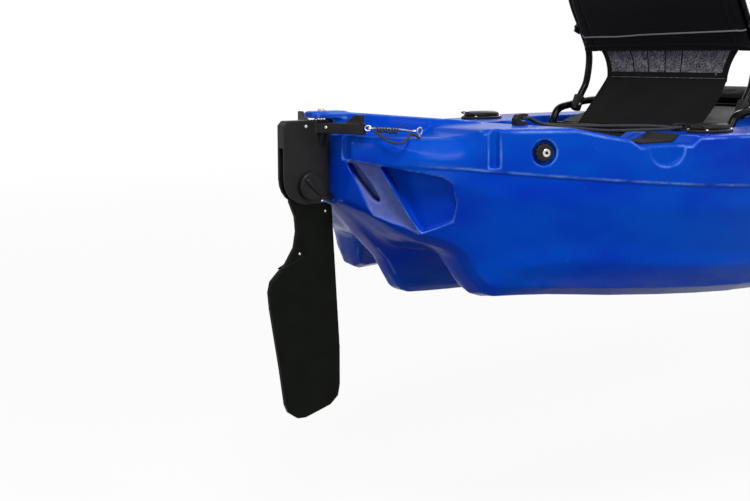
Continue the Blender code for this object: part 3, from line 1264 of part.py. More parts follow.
def steering_lever():
    """The steering lever on its round base, on the port rim beside the rear seat."""
    x, y = stern(LEVER_AT[0]), LEVER_AT[1]
    ground = along(SHEER, LEVER_AT[0])
    base_low = ground + GAP
    cylinder("steering_base", LEVER_BASE_RADIUS, LEVER_BASE_HEIGHT, (x, y, base_low + LEVER_BASE_HEIGHT / 2),
             sides=28, finish="black_plastic", far_radius=LEVER_BASE_RADIUS - 0.004)
    low = base_low + LEVER_BASE_HEIGHT + GAP
    hub = cylinder("steering_lever", 0.022, 0.014, (x, y, low + 0.007), sides=24, finish="black_plastic")
    route = smooth_route([(x, y, low + 0.008), (x + 0.04, y, low + 0.010), (x + 0.08, y, low + 0.022),
                          (x + LEVER_REACH, y, low + 0.030)], 3)
    combine(hub, tube("steering_arm", route, 0.006), "UNION")
    grip = [(0, 0.016), (0.010, 0.014), (0.014, 0.007), (0.0145, -0.004), (0.010, -0.012), (0, -0.013)]
    top = (x + LEVER_REACH, y, low + 0.036)
    return combine(hub, turned("steering_grip", grip, top, (0, 0, 1), sides=16), "UNION")


def gear_track(word, side):
    """A slotted track for accessories, on the rim."""
    half, lip = TRACK_WIDTH / 2, 0.0035
    profile = [(-half, 0), (half, 0), (half, TRACK_HEIGHT), (lip, TRACK_HEIGHT), (lip, TRACK_HEIGHT - 0.003),
               (0.0075, TRACK_HEIGHT - 0.003), (0.0075, 0.003), (-0.0075, 0.003), (-0.0075, TRACK_HEIGHT - 0.003),
               (-lip, TRACK_HEIGHT - 0.003), (-lip, TRACK_HEIGHT), (-half, TRACK_HEIGHT)]
    ground = along(SHEER, TRACK_AFT) + GAP
    ends = (stern(TRACK_AFT), stern(TRACK_AFT + TRACK_LENGTH))
    return skin(f"gear_track_{word}", [[(x, side * TRACK_AT + y, ground + z) for y, z in profile] for x in ends],
                "black_plastic")


def side_handle(word, side):
    """A carry handle that hangs in its pocket in the hull's side."""
    x, y, z = stern(HANDLE_AT), side * (HALF_BEAM - HANDLE_SET_IN), HANDLE_HEIGHT
    half, drop = HANDLE_HALF, HANDLE_DROP
    route = [(x + half, y, z), (x + half - 0.006, y, z), (x + half - 0.014, y, z - 0.010),
             (x + half - 0.018, y, z - drop + 0.016), (x + half - 0.034, y, z - drop), (x, y, z - drop)]
    route += [(2 * x - p, q, r) for p, q, r in reversed(route[:-1])]
    return tube(f"side_handle_{word}", square_ended(route, 2), HANDLE_RADIUS, "black_rubber")


def bow_handle():
    """The carry handle between the bow's lugs, lying aft."""
    x, z = bow(BOW_HANDLE_AT), bow_handle_height()
    half, inner = BOW_HANDLE_HALF, BOW_HANDLE_HALF - 0.010
    route = [(x, half, z), (x, half - 0.004, z), (x - 0.010, inner, z),
             (x - BOW_HANDLE_REACH + 0.02, inner, z + 0.002), (x - BOW_HANDLE_REACH, inner - 0.018, z + 0.002),
             (x - BOW_HANDLE_REACH, 0, z + 0.002)]
    route += [(p, -q, r) for p, q, r in reversed(route[:-1])]
    return tube("bow_handle", square_ended(route, 2), HANDLE_RADIUS, "black_rubber")


def hatch_lid():
    """The bow hatch's crowned lid on its seat."""
    low = hatch_seat_height() + GAP
    rings = [[(x, y, low + h) for x, y in hatch_outline(-inset)]
             for h, inset in ((0, 0.003), (0.003, 0), (HATCH_LID_THICKNESS - 0.004, 0), (HATCH_LID_THICKNESS, 0.004),
                              (HATCH_LID_THICKNESS + HATCH_LID_CROWN, 0.04))]
    return skin("hatch_lid", rings, "black_plastic")


def hatch_knob():
    """The quarter-turn knob on the lid."""
    low = hatch_seat_height() + HATCH_LID_THICKNESS + HATCH_LID_CROWN + 2 * GAP
    x = bow(HATCH_AFT) + HATCH_KNOB_FORWARD
    knob = cylinder("hatch_knob", 0.024, 0.008, (x, 0, low + 0.004), sides=24, finish="black_plastic")
    bar = box("hatch_knob_bar", (x - 0.020, -0.006, low + 0.004), (x + 0.020, 0.006, low + 0.020), radius=0.002,
              segments=1)
    return combine(knob, bar, "UNION")


def battery():
    """The motor's battery, standing in the bow hatch's bucket."""
    length, width, height = BATTERY_SIZE
    x, low = bow(BATTERY_AT), HATCH_FLOOR + GAP
    case = box("battery", (x - length / 2, -width / 2, low), (x + length / 2, width / 2, low + height),
               "black_plastic", radius=0.006, segments=1)
    for side, word in ((1, "fore"), (-1, "aft")):
        post = cylinder(f"battery_post_{word}", 0.007, 0.020, (x + side * 0.06, 0.03, low + height + 0.004), sides=12)
        combine(case, post, "UNION")
    return case


def hang(part, axis, carrier=None):
    """Puts a moving part's origin on its joint's axis, and parents it to the part that carries it."""
    point = Vector(axis)
    part.data.transform(Matrix.Translation(-point))
    part.location = point - (carrier.location if carrier else Vector())
    part.parent = carrier


def hang_rudder():
    parts = PARTS.objects
    head = parts["rudder_head"]
    hang(head, (stern(STEER_AXIS), 0, (HEAD_TOP + HEAD_BOTTOM) / 2))
    for name in ("rudder_blade", "rudder_bolt", "rudder_knob"):
        hang(parts[name], (stern(PIVOT_AT[0]), 0, PIVOT_AT[1]), head)


def hang_drive():
    parts = PARTS.objects
    x = stern(DRIVE_AT)
    housing = parts["drive_housing"]
    hang(housing, (x, 0, REAR_KNEE_WELL[5]))
    hang(parts["drive_leg"], (x, 0, POD_HEIGHT), housing)
    hang(parts["propeller"], (x - POD_LENGTH / 2, 0, POD_HEIGHT), housing)
    hang(parts["throttle_lever"], (x + THROTTLE_FORWARD, 0, drive_top() + GAP + THROTTLE_HUB), housing)
    hang(parts["drive_bail"], (x + BAIL_FORWARD, 0, drive_top() + BAIL_HEIGHT), housing)


def hang_seats_and_pedals():
    parts = PARTS.objects
    for word, shift in (("rear", 0), ("front", SEAT_SPACING)):
        back = parts[f"{word}_seat_back_frame"]
        pivot = seat_point(SEAT_FOOT_AT + shift, *BACK_PIVOT)
        hang(back, pivot)
        for name in ("backrest", "lumbar_mesh"):
            hang(parts[f"{word}_seat_{name}"], pivot, back)
    for word, at, footwell in (("rear", REAR_PEDAL_AT, REAR_FOOTWELL), ("front", FRONT_PEDAL_AT, FRONT_FOOTWELL)):
        for side, side_word in ((1, "port"), (-1, "starboard")):
            hang(parts[f"{word}_pedal_{side_word}"], (stern(at), footwell[2] * side, footwell[5]))


def hang_deck_fittings():
    parts = PARTS.objects
    for side, word in ((1, "port"), (-1, "starboard")):
        hinge_height = rod_base() + ROD_FLANGE_THICKNESS + 2 * GAP + ROD_HINGE_UP
        hang(parts[f"rod_cap_{word}"], (stern(ROD_AT[0]) + ROD_CAP[0], side * ROD_AT[1], hinge_height))
        hang(parts[f"side_handle_{word}"], (stern(HANDLE_AT), side * (HALF_BEAM - HANDLE_SET_IN), HANDLE_HEIGHT))
    hang(parts["steering_lever"], (stern(LEVER_AT[0]), LEVER_AT[1], along(SHEER, LEVER_AT[0]) + LEVER_BASE_HEIGHT))
    hang(parts["bow_handle"], (bow(BOW_HANDLE_AT), 0, bow_handle_height()))
    lid = parts["hatch_lid"]
    lid_top = hatch_seat_height() + HATCH_LID_THICKNESS
    hang(lid, (bow(HATCH_FORE) + HATCH_HINGE_FORWARD, 0, lid_top + GAP))
    hang(parts["hatch_knob"], (bow(HATCH_AFT) + HATCH_KNOB_FORWARD, 0, lid_top), lid)


def build():
    build_hull()
    rudder_head()
    rudder_blade()
    rudder_bolt()
    rudder_knob()
    rudder_pin()
    rudder_bracket()
    lift_line()
    bungee_hook()
    bungee_eye()
    bungee()
    for side, word in ((1, "port"), (-1, "starboard")):
        cable_eye(word, side)
        steering_cable(word, side)
        side_plug(word, side)
        rod_holder(word, side)
        rod_cap(word, side)
        gear_track(word, side)
        side_handle(word, side)
    for word, shift in (("rear", 0), ("front", SEAT_SPACING)):
        base = SEAT_FOOT_AT + shift
        deck_mat(word, shift)
        seat_rail(word, base)
        seat_back_frame(word, base)
        seat_soft_parts(word, base)
    pedals()
    drive_housing()
    drive_leg()
    propeller()
    throttle_lever()
    drive_bail()
    steering_lever()
    bow_handle()
    hatch_lid()
    hatch_knob()
    battery()
    hang_rudder()
    hang_drive()
    hang_seats_and_pedals()
    hang_deck_fittings()


build()
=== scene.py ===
"""The tandem motorized kayak as it looks: its finishes, soft goods, cords and small fittings.

Metres, +X to the bow, +Y to port and +Z up. Places along the hull are measured forward from the
transom, as in the part's own source.
"""

import json
import math

import bmesh
import bpy
from mathutils import Matrix, Vector
from mathutils.bvhtree import BVHTree
from mathutils.kdtree import KDTree


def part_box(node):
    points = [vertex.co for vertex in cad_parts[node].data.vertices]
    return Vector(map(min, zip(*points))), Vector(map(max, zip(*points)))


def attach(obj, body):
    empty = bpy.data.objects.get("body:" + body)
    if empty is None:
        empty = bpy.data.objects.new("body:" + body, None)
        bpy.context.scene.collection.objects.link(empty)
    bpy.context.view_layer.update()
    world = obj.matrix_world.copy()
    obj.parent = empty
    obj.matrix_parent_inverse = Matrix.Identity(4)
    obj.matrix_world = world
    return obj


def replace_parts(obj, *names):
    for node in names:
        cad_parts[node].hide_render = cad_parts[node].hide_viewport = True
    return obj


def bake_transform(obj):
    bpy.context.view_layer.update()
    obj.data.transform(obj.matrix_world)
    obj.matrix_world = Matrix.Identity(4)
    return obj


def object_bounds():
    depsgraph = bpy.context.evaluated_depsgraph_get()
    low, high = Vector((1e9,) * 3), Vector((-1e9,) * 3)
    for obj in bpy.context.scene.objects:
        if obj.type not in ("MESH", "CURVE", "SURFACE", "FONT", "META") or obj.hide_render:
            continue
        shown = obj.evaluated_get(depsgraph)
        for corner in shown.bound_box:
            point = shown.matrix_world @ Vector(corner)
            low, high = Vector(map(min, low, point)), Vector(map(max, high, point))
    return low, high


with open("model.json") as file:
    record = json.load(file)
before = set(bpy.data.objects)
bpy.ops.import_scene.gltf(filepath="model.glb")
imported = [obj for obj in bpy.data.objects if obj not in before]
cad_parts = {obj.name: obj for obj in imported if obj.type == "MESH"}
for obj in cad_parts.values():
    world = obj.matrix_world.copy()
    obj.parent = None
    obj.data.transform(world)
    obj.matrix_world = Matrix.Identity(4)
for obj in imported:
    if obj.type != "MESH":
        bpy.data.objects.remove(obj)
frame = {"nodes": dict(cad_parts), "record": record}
CAD_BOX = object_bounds()
NODES = frame["nodes"]
BODY_OF = {node: body for body, nodes in frame["record"]["behaviour"]["bodies"].items() for node in nodes}
SIDES = ((1, "port"), (-1, "starboard"))

# Hull
HULL_LENGTH = 4.27
RIM_HEIGHT = 0.368
SKIN_VOXEL = 0.0048
MOULD_EDGE = math.radians(24)
# outer edges sharper than this get the painted highlight
OUTER_EDGE = math.radians(34)
EDGE_BLEND = (0.003, 0.020)
# the width over which the painted edge highlight fades out
EDGE_HIGHLIGHT_WIDTH = (0.0008, 0.0036)
FINE_FROM = -2.135 + 0.80
FINE_TO = -2.135 + 1.18
FINE_STERN = 2.0
FINE_REST = 0.75
FINE_CHANGE = (FINE_REST - FINE_STERN) / (FINE_TO - FINE_FROM)
CHINE_LINE = ((0.19, 0.126), (0.31, 0.134), (0.68, 0.101), (1.4, 0.078), (2.8, 0.078), (3.4, 0.110), (3.9, 0.180))
CHINE_HALF = 0.034
CHINE_RISE = 0.0055
GILL_PANEL = [(-0.012, 0.3235), (0.050, 0.3165), (0.122, 0.190), (0.098, 0.202), (0.038, 0.222)]
GILL_LINE = ((0, 0.076), (0.18, 0.2649))
NOTCH_SHELF = ((0.5290, 0.270), (0.0540, 0.080))
FOOTWELLS = ((1.85, 2.09, 0.212), (3.16, 3.42, 0.188))
PEDALS = (("rear", 1.93, 0.212, 0.13), ("front", 3.24, 0.188, 0.14))
PEDAL_LEAN = math.radians(-18)
PEDAL_RIBS = 10
RIB_PITCH = 0.0125

# Photograph, and the lamps: name, place, what it points at, size and power
LENS = 58.0
CAMERA_AT = (-3.4334, -1.8724, 0.5118)
CAMERA_YAW = 36.93
CAMERA_PITCH = 9.107
LAMPS = (("key", (-3.0, -1.9, 3.3), (-1.7, -0.2, 0.2), 1.2, 84),
         ("side", (-0.9, -4.4, 2.2), (-1.4, 0, 0.2), 1.2, 78),
         ("fill", (2.5, 2.5, 3.2), (0, 0, 0.2), 3.2, 70),
         ("aft", (-5.6, 0.4, 1.5), (-2, 0, 0.2), 1.2, 26),
         ("low", (-4.4, -2.6, -0.22), (-1.9, -0.1, 0.12), 1.0, 20))

# Rudder, with places as (forward of the transom, height)
HEAD_HALF = 0.0112
BLADE_HALF = 0.0065
PIVOT_AT = (-0.050, 0.275)
BOLT_CLEAR = 0.015
KNOB_FACE = 0.0205
KNOB_RIM = 0.0232
RIDGE_TURN = math.radians(42)
RIDGE = ((-0.0212, -0.0042, -0.0042), (0.0212, 0.004, 0.0042))
HEAD_SCREW = (-0.0585, 0.3851)
YOKE_SCREW = (-0.0256, 0.0283, 0.3834)
BLADE_SCREWS = ((-0.0132, 0.2246), (-0.0719, 0.1483))
BLADE_BEAD = ((-0.0634, 0.1435), (-0.1106, 0.1226))
SCREW_RADIUS = 0.0034
WEB_TOP = 0.3752
WEB_LOW = 0.3725
WEB_DEEP = 0.030

# Cords, with points as (forward of the transom, to the side, height)
WIRE_RADIUS = 0.0016
LINE_RADIUS = 0.0022
BUNGEE_RADIUS = 0.003
STEERING_WIRE = ((0.0115, 0.1110, 0.3842), (0.0135, 0.1150, 0.3840), (0.032, 0.124, 0.3835), (0.060, 0.136, 0.3815),
                 (0.0826, 0.1475, 0.3781), (0.0906, 0.150, 0.3781))
LIFT_LINE = ((0.0150, -0.1235, 0.3780), (0.023, -0.134, 0.3705), (0.029, -0.151, 0.3605), (0.041, -0.168, 0.3585),
             (0.055, -0.168, 0.3655), (0.066, -0.161, 0.3735), (0.078, -0.160, 0.3720), (0.089, -0.162, 0.3655))
BUNGEE_INNER = ((0.3002, 0.2014, 0.3973), (0.3142, 0.2014, 0.3973), (0.3222, 0.2014, 0.3963), (0.350, 0.2085, 0.3855),
                (0.420, 0.2230, 0.3805), (0.500, 0.2385, 0.3775), (0.590, 0.2560, 0.3755), (0.634, 0.2657, 0.3730),
                (0.652, 0.2692, 0.3711), (0.664, 0.2697, 0.3711))
BUNGEE_TURN = ((0.6725, 0.27385, 0.3711), (0.6745, 0.278, 0.3711), (0.6725, 0.28215, 0.3711))
BUNGEE_OUTER = ((0.664, 0.2863, 0.3711), (0.650, 0.2863, 0.3708), (0.610, 0.2800, 0.3690), (0.500, 0.2500, 0.3690),
                (0.420, 0.2330, 0.3755), (0.350, 0.2165, 0.3845), (0.3222, 0.2086, 0.3963), (0.3142, 0.2086, 0.3973),
                (0.3002, 0.2086, 0.3973))
LASHING = ((0.021, 0.1215, 0.3815), (0.058, 0.1385, 0.3775))
LASHING_TAIL = ((0.055, 0.1375, 0.3800), (0.060, 0.1385, 0.3870), (0.067, 0.1400, 0.3900), (0.074, 0.1425, 0.3865),
                (0.080, 0.1455, 0.3805))
SLEEVE_RADIUS = 0.0024
LASHING_TURNS = 7.5

# Deck fittings, with turned profiles as (radius, height)
HATCH_HALF_AFT = 0.165
HATCH_HALF_FORE = 0.105
HATCH_BEADS = (("hatch_bead", 0.062, 0.0026, -0.0008), ("hatch_rim_bead", 0.020, 0.0022, -0.0010))
BATTERY_SEAM = 0.045
TERMINAL_AT = (0.06, 0.03)
TERMINAL = ((0, 0), (0.0062, 0), (0.0062, 0.0012), (0.0040, 0.0015), (0.0040, 0.0048), (0.0034, 0.0056), (0, 0.0056))
PLUG_SCREW = ((0, 0.0008), (0.0030, 0.0008), (0.0031, 0.0038), (0.0062, 0.0042), (0.0074, 0.0034), (0.0077, 0.0020),
              (0.0077, 0), (0, 0))
ROD_AT = (0.69, 0.340)
ROD_HEIGHT = 0.3635
ROD_SCREWS = (0.0385, 0.0225)
CAP_BAIL = ((0.006, 0.017, -0.001), (-0.003, 0.016, 0.002), (-0.009, 0.009, 0.004), (-0.010, 0, 0.0045))
TRACK_AT = 0.374
TRACK_AFT = 1.52
TRACK_LENGTH = 0.32
TRACK_SCREWS = (0.1, 0.367, 0.633, 0.9)

# Drive and steering
HOUSING_SCREWS = (0.050, 0.034)
HOUSING_SEAM = 0.022
PROPELLER_HEIGHT = -0.130
PROPELLER_NUT = ((0, -0.0024), (0.0085, -0.0024), (0.0085, 0.0045), (0.0065, 0.0060), (0.0060, 0.0100),
                 (0.0035, 0.0125), (0, 0.013))
THROTTLE_HUB = (1.69, 0.115, 0.3353 + 0.0003 + 0.013)
BASE_SCREWS = 0.0252

# Seats: the side view as (forward, up) from the rear foot
SEAT_FOOT_AT = 0.855
SEAT_SPACING = 1.37
SEAT_GROUND = 0.3361
RAIL_SPREAD = 0.262
RAIL_RADIUS = 0.009
CROSSBAR_RADIUS = 0.0075
BACK_SPREAD = 0.2438
BACK_TUBE_RADIUS = 0.0085
SEAT_PIN_RADIUS = 0.0035
SLED = ((0, 0.0005), (0.001, 0.024), (0.0205, 0.049), (0.0645, 0.0595), (0.145, 0.069), (0.30, 0.072), (0.44, 0.070),
        (0.477, 0.052), (0.485, 0.024), (0.486, -0.0053))
CROSSBARS = ((0.002, 0.0115), (0.225, 0.062), (0.425, 0.062))
BACK_PIVOT = (0.0645, 0.0595)
BACK_TUBE = ((0.078, 0.0837), (0.098, 0.1187), (0.104, 0.1837), (0.078, 0.240), (0.042, 0.3037), (0.005, 0.404))
BACK_CROWN = (-0.014, 0.462)
BACKREST_BOTTOM = 0.184
LUMBAR_BOTTOM = 0.124
WAIST_HALF = 0.173
LUMBAR_TOP_HALF = 0.203
SKIRT_FOOT_HALF = 0.173
CUSHION = (0.212, 0.470)
CUSHION_HALF = 0.231
CUSHION_THICKNESS = 0.028
CUSHION_CHANNELS = (0.277, 0.341, 0.405)
CUSHION_SEAMS = (0.150, -0.150)
BACKREST_SEAMS = (0.205, -0.205)
PRESSURE = 4.0
BACK_LEAN = math.radians(24)
SLING_LINE = ((0.0035, 0.0200), (0.2155, 0.0600))
SLING_HALF = 0.2300
SHOE_AT = (0.0640, 0.0600, 0.2428)
BUCKLE_HEIGHT = 0.246
PIPING_HEIGHT = BACKREST_BOTTOM + 0.029
PIPING_TILT = 0.0068
PLEATS = (0.53, 0.28, 0.0, -0.26)


def stern(distance):
    return distance - HULL_LENGTH / 2


def fair(table, x):
    """The value at x of a smooth curve through (place, value) pairs that never overshoots them."""
    if x <= table[0][0]:
        return table[0][1]
    if x >= table[-1][0]:
        return table[-1][1]
    slopes = [(b[1] - a[1]) / (b[0] - a[0]) for a, b in zip(table, table[1:])]
    i = max(k for k in range(len(slopes)) if table[k][0] <= x)
    before = slopes[i - 1] if i else slopes[i]
    after = slopes[i + 1] if i + 1 < len(slopes) else slopes[i]
    start, end = (0 if s * slopes[i] <= 0 else 2 * s * slopes[i] / (s + slopes[i]) for s in (before, after))
    span = table[i + 1][0] - table[i][0]
    t = (x - table[i][0]) / span
    return (table[i][1] * (1 + 2 * t) * (1 - t) ** 2 + span * start * t * (1 - t) ** 2
            + table[i + 1][1] * t * t * (3 - 2 * t) + span * end * t * t * (t - 1))


# Finishes


def linear(code):
    """An sRGB hex colour as the linear values that the shaders take."""
    values = [int(code[i:i + 2], 16) / 255 for i in (1, 3, 5)]
    return (*(v / 12.92 if v <= 0.04045 else ((v + 0.055) / 1.055) ** 2.4 for v in values), 1)


def add(tree, kind, inputs=None, **settings):
    """Adds one node with its settings, and links or sets its inputs."""
    made = tree.nodes.new(kind)
    for name, value in settings.items():
        setattr(made, name, value)
    for socket, value in (inputs or {}).items():
        if isinstance(value, bpy.types.NodeSocket):
            tree.links.new(value, made.inputs[socket])
        else:
            made.inputs[socket].default_value = value
    return made


def finish(name, slot, **shader_values):
    """A new material that takes its place from the record's slot, its node tree and the piece's coordinates."""
    made = bpy.data.materials.new(name)
    made.use_nodes = True
    made["slot"] = slot
    tree = made.node_tree
    for socket, value in shader_values.items():
        tree.nodes["Principled BSDF"].inputs[socket.replace("_", " ")].default_value = value
    return made, tree, add(tree, "ShaderNodeTexCoord").outputs["Object"]


def feed(tree, socket, value):
    """Links a value to one of the shader's own inputs."""
    tree.links.new(value, tree.nodes["Principled BSDF"].inputs[socket])


def mapped(tree, where, scale, turn=(0, 0, 0)):
    return add(tree, "ShaderNodeMapping", {"Vector": where, "Rotation": turn, "Scale": scale}).outputs["Vector"]


def clouds(tree, where, size, detail):
    return add(tree, "ShaderNodeTexNoise", {"Vector": where, "Scale": 1 / size, "Detail": detail}).outputs["Fac"]


def waves(tree, where, scale, distortion, way):
    return add(tree, "ShaderNodeTexWave", {"Vector": where, "Scale": scale, "Distortion": distortion},
               bands_direction=way).outputs["Fac"]


def cells(tree, where, size, randomness):
    return add(tree, "ShaderNodeTexVoronoi", {"Vector": where, "Scale": 1 / size,
                                              "Randomness": randomness}).outputs["Distance"]


def ranged(tree, value, low, high, start=0.0, end=1.0):
    """The value's stretch from low to high, laid out from start to end."""
    return add(tree, "ShaderNodeMapRange", {"Value": value, "From Min": low, "From Max": high, "To Min": start,
                                            "To Max": end}).outputs["Result"]


def both(tree, one, other, operation="MULTIPLY"):
    return add(tree, "ShaderNodeMath", {0: one, 1: other}, operation=operation).outputs["Value"]


def ramp(tree, value, dark, light, low=0.0, high=1.0):
    """A colour that runs from dark to light while the value runs from low to high."""
    made = add(tree, "ShaderNodeValToRGB", {"Fac": value})
    for stop, at, code in zip(made.color_ramp.elements, (low, high), (dark, light)):
        stop.position, stop.color = at, linear(code)
    return made.outputs["Color"]


def tinted(tree, share, colour, over):
    """The colour, covered by another one by that share."""
    return add(tree, "ShaderNodeMix", {"Factor": share, "A": colour, "B": linear(over)},
               data_type="RGBA").outputs["Result"]


def relief(tree, height, strength, distance):
    """Gives the finish a fine relief, over the one that it has."""
    bump = add(tree, "ShaderNodeBump", {"Height": height, "Strength": strength, "Distance": distance})
    for link in tree.nodes["Principled BSDF"].inputs["Normal"].links:
        tree.links.new(link.from_socket, bump.inputs["Normal"])
    feed(tree, "Normal", bump.outputs["Normal"])


def polyethylene():
    """Rotomoulded polyethylene: a waxy blue gloss, clouded colour, pebbled skin, a pale painted highlight along the
    edges, and scuffs.
    """
    made, tree, where = finish("rotomoulded_polyethylene", "blue_polyethylene", IOR=1.5, Specular_IOR_Level=0.05)
    rim, panel = (add(tree, "ShaderNodeAttribute", attribute_name=name).outputs["Fac"] for name in ("highlight_and_scuffs", "dusty"))
    height = add(tree, "ShaderNodeSeparateXYZ", {"Vector": where}).outputs["Z"]
    cloud = clouds(tree, mapped(tree, where, (1.0, 1.0, 2.2)), 0.22, 2)
    scuff = clouds(tree, mapped(tree, where, (9, 260, 260), (0.1, 0.06, 0.2)), 1, 2)
    sand = clouds(tree, mapped(tree, where, (6, 22, 22)), 1, 5)
    # the pale painted highlight along the outer edges, broken up by clouds
    edge = both(tree, rim, ranged(tree, clouds(tree, where, 0.05, 2), 0.38, 0.66, 0.05, 0.85))
    # the painted edge highlight joined with the scuffs, which are real wear
    highlight_and_scuffs = both(tree, ranged(tree, scuff, 0.70, 0.78, 0, 0.12), edge, "MAXIMUM")
    chalked = both(tree, panel, ranged(tree, clouds(tree, where, 0.012, 5), 0.3, 0.7, 0.55, 0.85))
    ground = both(tree, ranged(tree, height, 0.115, 0.055), ranged(tree, sand, 0.42, 0.70, 0, 0.24))
    colour = ramp(tree, cloud, "#0033b4", "#0049be", 0.36, 0.64)
    # the first tint paints the edge highlight and the pale scuffs; the chalked gill panels and the sand low down are
    # real dust and dirt
    for share, over in ((highlight_and_scuffs, "#6f9bea"), (chalked, "#6b74a8"), (ground, "#7d86ab")):
        colour = tinted(tree, share, colour, over)
    feed(tree, "Base Color", colour)
    feed(tree, "Roughness", both(tree, ranged(tree, cloud, 0.3, 0.7, 0.22, 0.30), chalked, "MAXIMUM"))
    relief(tree, clouds(tree, where, 0.0035, 3), 0.22, 0.0008)
    return made


def moulded(name, slot, colour, dust_and_highlight, roughness, grain, depth, gloss):
    """A moulded black plastic or rubber: a spark-eroded grain of that size, and dust that lightens it in clouds."""
    made, tree, where = finish(name, slot, Specular_IOR_Level=gloss)
    dust = clouds(tree, where, 0.045, 4)
    feed(tree, "Base Color", ramp(tree, dust, colour, dust_and_highlight, 0.35, 0.78))
    feed(tree, "Roughness", ranged(tree, dust, 0.3, 0.7, roughness - 0.05, roughness + 0.07))
    relief(tree, clouds(tree, where, grain, 2), 0.35, depth)
    return made


def mat_foam():
    """Closed-cell foam sheet: matt, with an open cut grain and routed grooves at a pitch of 24 mm."""
    made = moulded("mat_foam", "black_rubber", "#0b0b0c", "#1b1b1d", 0.88, 0.0022, 0.0006, 0.1)
    tree = made.node_tree
    where = add(tree, "ShaderNodeTexCoord").outputs["Object"]
    relief(tree, ranged(tree, waves(tree, where, math.pi / (0.024 * 10), 0, "Y"), 0, 0.12), 0.9, 0.0015)
    return made


def anodised_tube():
    """Black anodised aluminium tube: a thin dark metal sheen with fine lines from drawing."""
    made, tree, where = finish("anodised_tube", "black_tube", Metallic=0.9, Specular_IOR_Level=0.3)
    line = clouds(tree, mapped(tree, where, (60, 900, 60)), 1, 2)
    feed(tree, "Base Color", ramp(tree, line, "#080808", "#151516"))
    feed(tree, "Roughness", ranged(tree, line, 0, 1, 0.16, 0.26))
    return made


def stainless():
    """Turned stainless steel: bright, warm grey, with fine lathe lines."""
    made, tree, where = finish("turned_stainless", "stainless_steel", Metallic=1.0)
    lathe = clouds(tree, where, 0.0014, 3)
    feed(tree, "Base Color", ramp(tree, lathe, "#a9a49b", "#dedad2"))
    feed(tree, "Roughness", ranged(tree, lathe, 0, 1, 0.18, 0.34))
    return made


def wire_rope():
    """Stainless wire rope, its strands drawn coarser than they are so that the lay shows: grey bands, with painted
    shade in the dark lays between them.
    """
    made, tree, where = finish("wire_rope", "stainless_steel", Metallic=0.9, Roughness=0.42)
    lay = waves(tree, mapped(tree, where, (1, 1, 1), (0.4, 0.5, 0.6)), 180, 0.6, "X")
    # the dark end of the ramp is painted shade in the grooves between strands
    feed(tree, "Base Color", ramp(tree, lay, "#3b3a38", "#a8a6a1"))
    return made


def braided(name, slot, colour, fleck_and_highlight):
    """A braided polyester sheath: crossing 1.3 mm plaits whose crowns are painted lighter, as a highlight and as
    flecks.
    """
    made, tree, where = finish(name, slot, Roughness=0.82)
    plait = cells(tree, where, 0.0013, 1)
    # the lighter colour on the plait crowns is a painted highlight and also stands for flecks
    feed(tree, "Base Color", ramp(tree, plait, fleck_and_highlight, colour))
    relief(tree, plait, 0.6, -0.0005)
    return made


def woven(name, slot, colour, light, pitch, sheen):
    """A plain weave of that thread spacing: two crossing waves, painted shade between threads, with a soft sheen at the
    edge.
    """
    made, tree, where = finish(name, slot, Roughness=0.88, Sheen_Weight=sheen, Sheen_Roughness=0.5,
                               Specular_IOR_Level=0.12)
    across, up = (waves(tree, where, math.pi / (pitch * 20), 0.4, way) for way in "YZ")
    weave = both(tree, across, up)
    # the dark end of the ramp is painted shade between the threads
    feed(tree, "Base Color", ramp(tree, both(tree, weave, clouds(tree, where, 0.07, 3)), colour, light))
    relief(tree, weave, 0.5, 0.0004)
    return made


def spacer_mesh():
    """Polyester spacer mesh: grey knitted threads round 2.4 mm holes painted dark as the shade inside them, drawn at
    3.4 mm so that they show.
    """
    made, tree, where = finish("spacer_mesh", "grey_mesh", Roughness=0.9, Specular_IOR_Level=0.1)
    holes = cells(tree, where, 0.0034, 0.5)
    thread = both(tree, holes, clouds(tree, where, 0.004, 2))
    # the dark stop is painted shade seen through the holes
    feed(tree, "Base Color", ramp(tree, thread, "#1b1a1e", "#8d8a91", 0.10, 0.42))
    relief(tree, holes, 0.8, 0.001)
    return made


HULL_PLASTIC = polyethylene()
# Glass-filled nylon, injection moulded: a satin near-black with a fine grain, for the rudder head and fittings
NYLON = moulded("glass_filled_nylon", "black_plastic", "#151414", "#211f20", 0.42, 0.0011, 0.0002, 0.16)
# Moulded polypropylene, smoother than the head: a deep black with a soft sheen and a hint of green
BLADE_PLASTIC = moulded("blade_polypropylene", "black_plastic", "#060805", "#0c0f0a", 0.42, 0.0030, 0.0002, 0.06)
# Soft moulded rubber: dull and slightly dusty, for the grips
RUBBER = moulded("grip_rubber", "black_rubber", "#0c0c0c", "#1d1d1d", 0.78, 0.0008, 0.0002, 0.25)
FOAM = mat_foam()
TUBE = anodised_tube()
STEEL = stainless()
WIRE = wire_rope()
# Braided line: near black, with brownish grey flecks that also paint a highlight on the plait crowns
CORD = braided("braided_cord", "black_rubber", "#0c0c0d", "#2e2d2c")
# Elastic cord: its sheath is a little lighter and cooler, with the same painted highlight on its plait crowns
ELASTIC = braided("elastic_cord", "black_rubber", "#0d0d0e", "#3a3a3c")
# Polyester canvas: a close black weave that swallows light, for the backrests, cushions and skirts
CANVAS = woven("polyester_canvas", "black_fabric", "#070707", "#161616", 0.0016, 0.05)
# Binding tape: a finer weave that outlines the sewn edges
BINDING = woven("binding_tape", "black_fabric", "#050505", "#1c1c1d", 0.0011, 0.05)
# Reflective piping: a pale grey line round the backrest's foot
PIPING = woven("reflective_piping", "grey_mesh", "#77757a", "#b9b5ba", 0.0010, 0.1)
MESH = spacer_mesh()
# Black powder coat on steel: satin, with a fine orange peel, for the rudder's bracket
COATED = moulded("powder_coated_steel", "stainless_steel", "#0e0e0f", "#1a1a1b", 0.45, 0.0012, 0.0001, 0.15)
